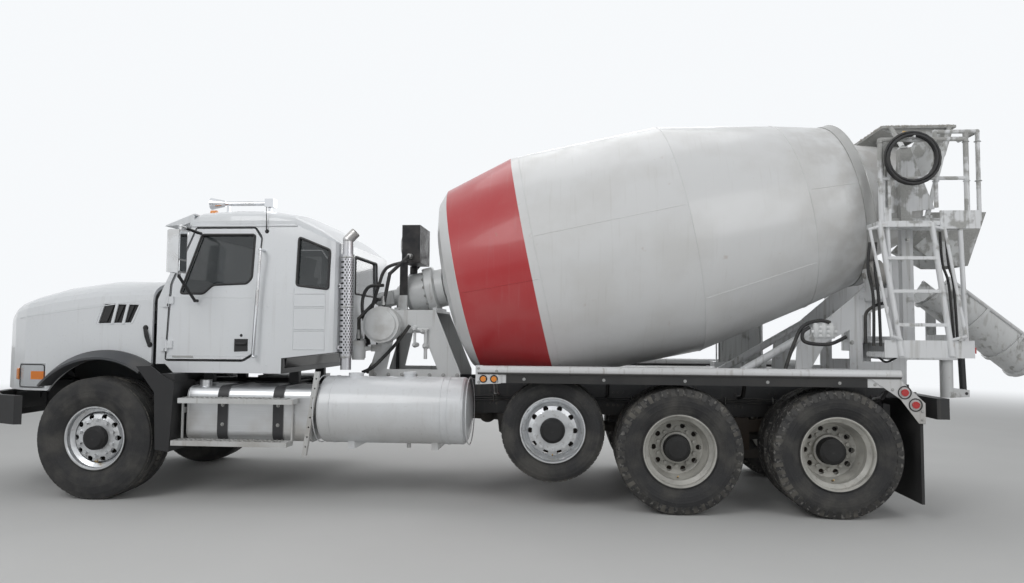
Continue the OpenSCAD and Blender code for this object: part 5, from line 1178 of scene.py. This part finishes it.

# Platform, ladder and rear lamps
# White platform and ladder on tube rails, splashed with cement like the rear pedestal. The deck is a
# checker plate with raised bars.
dress(pedestal_finish, "platform")
pitch_of_bars = 42
paths = []
decks = ((2580, 7150, 7950, -1030, -740), (1420, 7120, 7820, -1150, -720))
for z, x0, x1, y0, y1 in decks:
    for row in range((y1 - y0) // pitch_of_bars):
        for k in range((x1 - x0) // pitch_of_bars):
            foot = at(x0 + k * pitch_of_bars, y0 + 20 + row * pitch_of_bars, z + 60)
            place = skin_at("platform", foot, -upward)
            if place and abs(place.z - z / 1000) < 0.012:
                way = Vector((0.012, 0.009 if (row + k) % 2 else -0.009, 0))
                paths.append([place - way, place, place + way])
round_bars("checker_plate_bars", paths, [0.001, 0.004, 0.001], pedestal_finish, sides=6)
spots = [at(x, -1040, z) for x in (7150, 7620, 7880, 7980) for z in (2934, 3284)]
paths = [circle(spot, 0.026, 12, rearwards, rightwards) for spot in spots]
round_bars("rail_weld_beads", paths, 0.004, pedestal_finish, sides=6, closed=True)

# Rear fenders and marker lamps
# Long white steel fenders on a round edge rail, dusty below, with amber lamps in front and red lamps
# behind, and black rubber mud flaps on a clamped bar. Painted shade darkens the outer skirt under the
# rail and the faces that point down.
# Its faces that point down get painted shade, near black.
fender_paint = weathered("fender_paint", (0.74, 0.75, 0.76), 0.34, grime=0.95, reach=1.7, streaks=0.45,
                         coat=0.3, underside_shade=0.92)
where = given(fender_paint.node_tree, "TexCoord", "Object")
facing_up = given(fender_paint.node_tree, "NewGeometry", "Normal").split()[2]
fender_x, _, fender_z = where.split()
# Painted shade: the outer skirt below the rail, between the lamp plates, is painted near black for the shade
# under the fender, with a little dust over it.
shaded_skirt = (fender_x - axle_x).band(3.84, 6.93, 0.004) * (1 - fender_z.rise(1.196, 1.200))
skirt_soil = where.noise(3, 5).rise(0.4, 0.7) * 0.3
skirt_shade_colour = skirt_soil.blend((0.012, 0.012, 0.012), (0.06, 0.055, 0.05))
painted_over(fender_paint, shaded_skirt * (1 - facing_up.rise(0.4, 0.6)), skirt_shade_colour)
dress(fender_paint, "rear_fenders")
lamps, where = finish("marker_lenses", (0.75, 0.20, 0.03), 0.15, coat=1.0)
lamp_x, _, lamp_z = where.split()
feed(
    lamps,
    colour=(lamp_x - axle_x).rise(6.0, 6.01).blend((0.85, 0.27, 0.02), (0.48, 0.012, 0.012)),
    rough=0.12 + where.noise(20) * 0.2,
    normal=(lamp_x + lamp_z).wave(500).bump(0.001, 0.4),
)
dress(lamps, "marker_lamps")
spots = [(3600, 1250), (3600, 1130), (3760, 1230), (3760, 1140)]
spots += [(6990, 1150), (7130, 1110), (7370, 860), (7370, 930)]
spots += [(x, 1160) for x in (4000, 4700, 5400, 6100, 6700)]
bolts_on("fender_bolts", "rear_fenders", from_sides(spots), 0.018, 0.009, near=1.1)
paths = []
for side in (-1, 1):
    for x, z, r in ((3640, 1160, 0.030), (3735, 1160, 0.030), (7228, 1088, 0.052), (7315, 985, 0.052)):
        middles = laid_on("marker_lamps", from_sides([(x, z)], [side]), -0.012)
        paths += [circle(place, r, 24) for place in middles]
round_bars("marker_lamp_rims", paths, 0.005, seal_rubber, sides=6, closed=True)
lines = [(at(7600, side * y, 950), -rearwards) for side in (-1, 1) for y in (700, 860, 1020, 1150)]
bolts_on("mud_flap_bolts", "mud_flaps", lines, 0.022, 0.010)

# Chute lift
# Hydraulic cylinder with a black barrel and a chromed rod, pinned to the swing post and the chute,
# which it tilts.
dress(frame_paint, "lift_barrel")
dress(chrome, "lift_rod")

# Floor and light
# A pale studio floor with soft lamps overhead and on the camera's side, and a white surround that
# glass and chrome see too.
floor_look, where = finish("pale_floor", (0.62, 0.62, 0.61), 0.85)
feed(floor_look, colour=where.noise(0.8, 5).blend((0.60, 0.60, 0.59), (0.66, 0.66, 0.65)))
haze_white = (0.93, 0.95, 0.97, 1)
floor_tree = floor_look.node_tree
floor_x, floor_y, _ = where.split()
far_floor = (floor_x * floor_x + floor_y * floor_y).rise(90, 420)
far_floor = far_floor * given(floor_tree, "LightPath", "Is Camera Ray")
glow = where.node("Emission", None, {"Color": haze_white, "Strength": 1.0})
ground = Wire(floor_tree, floor_tree.nodes["Principled BSDF"].outputs[0])
both = where.node("MixShader", None, {0: far_floor, 1: ground, 2: glow})
floor_tree.links.new(both.socket, floor_tree.nodes["Material Output"].inputs["Surface"])
floor_mesh = bmesh.new()
bmesh.ops.create_grid(floor_mesh, x_segments=1, y_segments=1, size=60)
data = bpy.data.meshes.new("studio_floor")
floor_mesh.to_mesh(data)
floor_mesh.free()
data.materials.append(floor_look)
floor = bpy.data.objects.new("studio_floor", data)
bpy.context.scene.collection.objects.link(floor)
lamp_rows = (
    # name, place, target, size, watts
    ("key_lamp", (-5, -9, 8), (0, 0, 1.6), 6, 330),
    ("fill_lamp", (7, -8, 5), (1, 0, 1.5), 6, 160),
    ("top_lamp", (0, 2, 9), (0, 0, 2), 8, 170),
    ("back_lamp", (2, 10, 6), (0, 0, 1.8), 6, 170),
)
for name, place, target, size, watts in lamp_rows:
    lamp = bpy.data.lights.new(name, "AREA")
    lamp.energy = watts
    lamp.shape = "DISK"
    lamp.size = size
    holder = bpy.data.objects.new(name, lamp)
    bpy.context.scene.collection.objects.link(holder)
    holder.location = place
    holder.rotation_euler = (Vector(target) - Vector(place)).to_track_quat("-Z", "Y").to_euler()
sky = bpy.data.worlds.new("studio_surround")
bpy.context.scene.world = sky
sky.use_nodes = True
sky_tree = sky.node_tree
seen = given(sky_tree, "LightPath", "Is Camera Ray")
for kind in ("Is Glossy Ray", "Is Transmission Ray"):
    seen = seen.either(given(sky_tree, "LightPath", kind))
surround = sky_tree.nodes["Background"]
surround.inputs["Color"].default_value = haze_white
sky_tree.links.new((seen * 0.60 + 0.40).socket, surround.inputs["Strength"])
bpy.context.scene.view_settings.view_transform = "Standard"
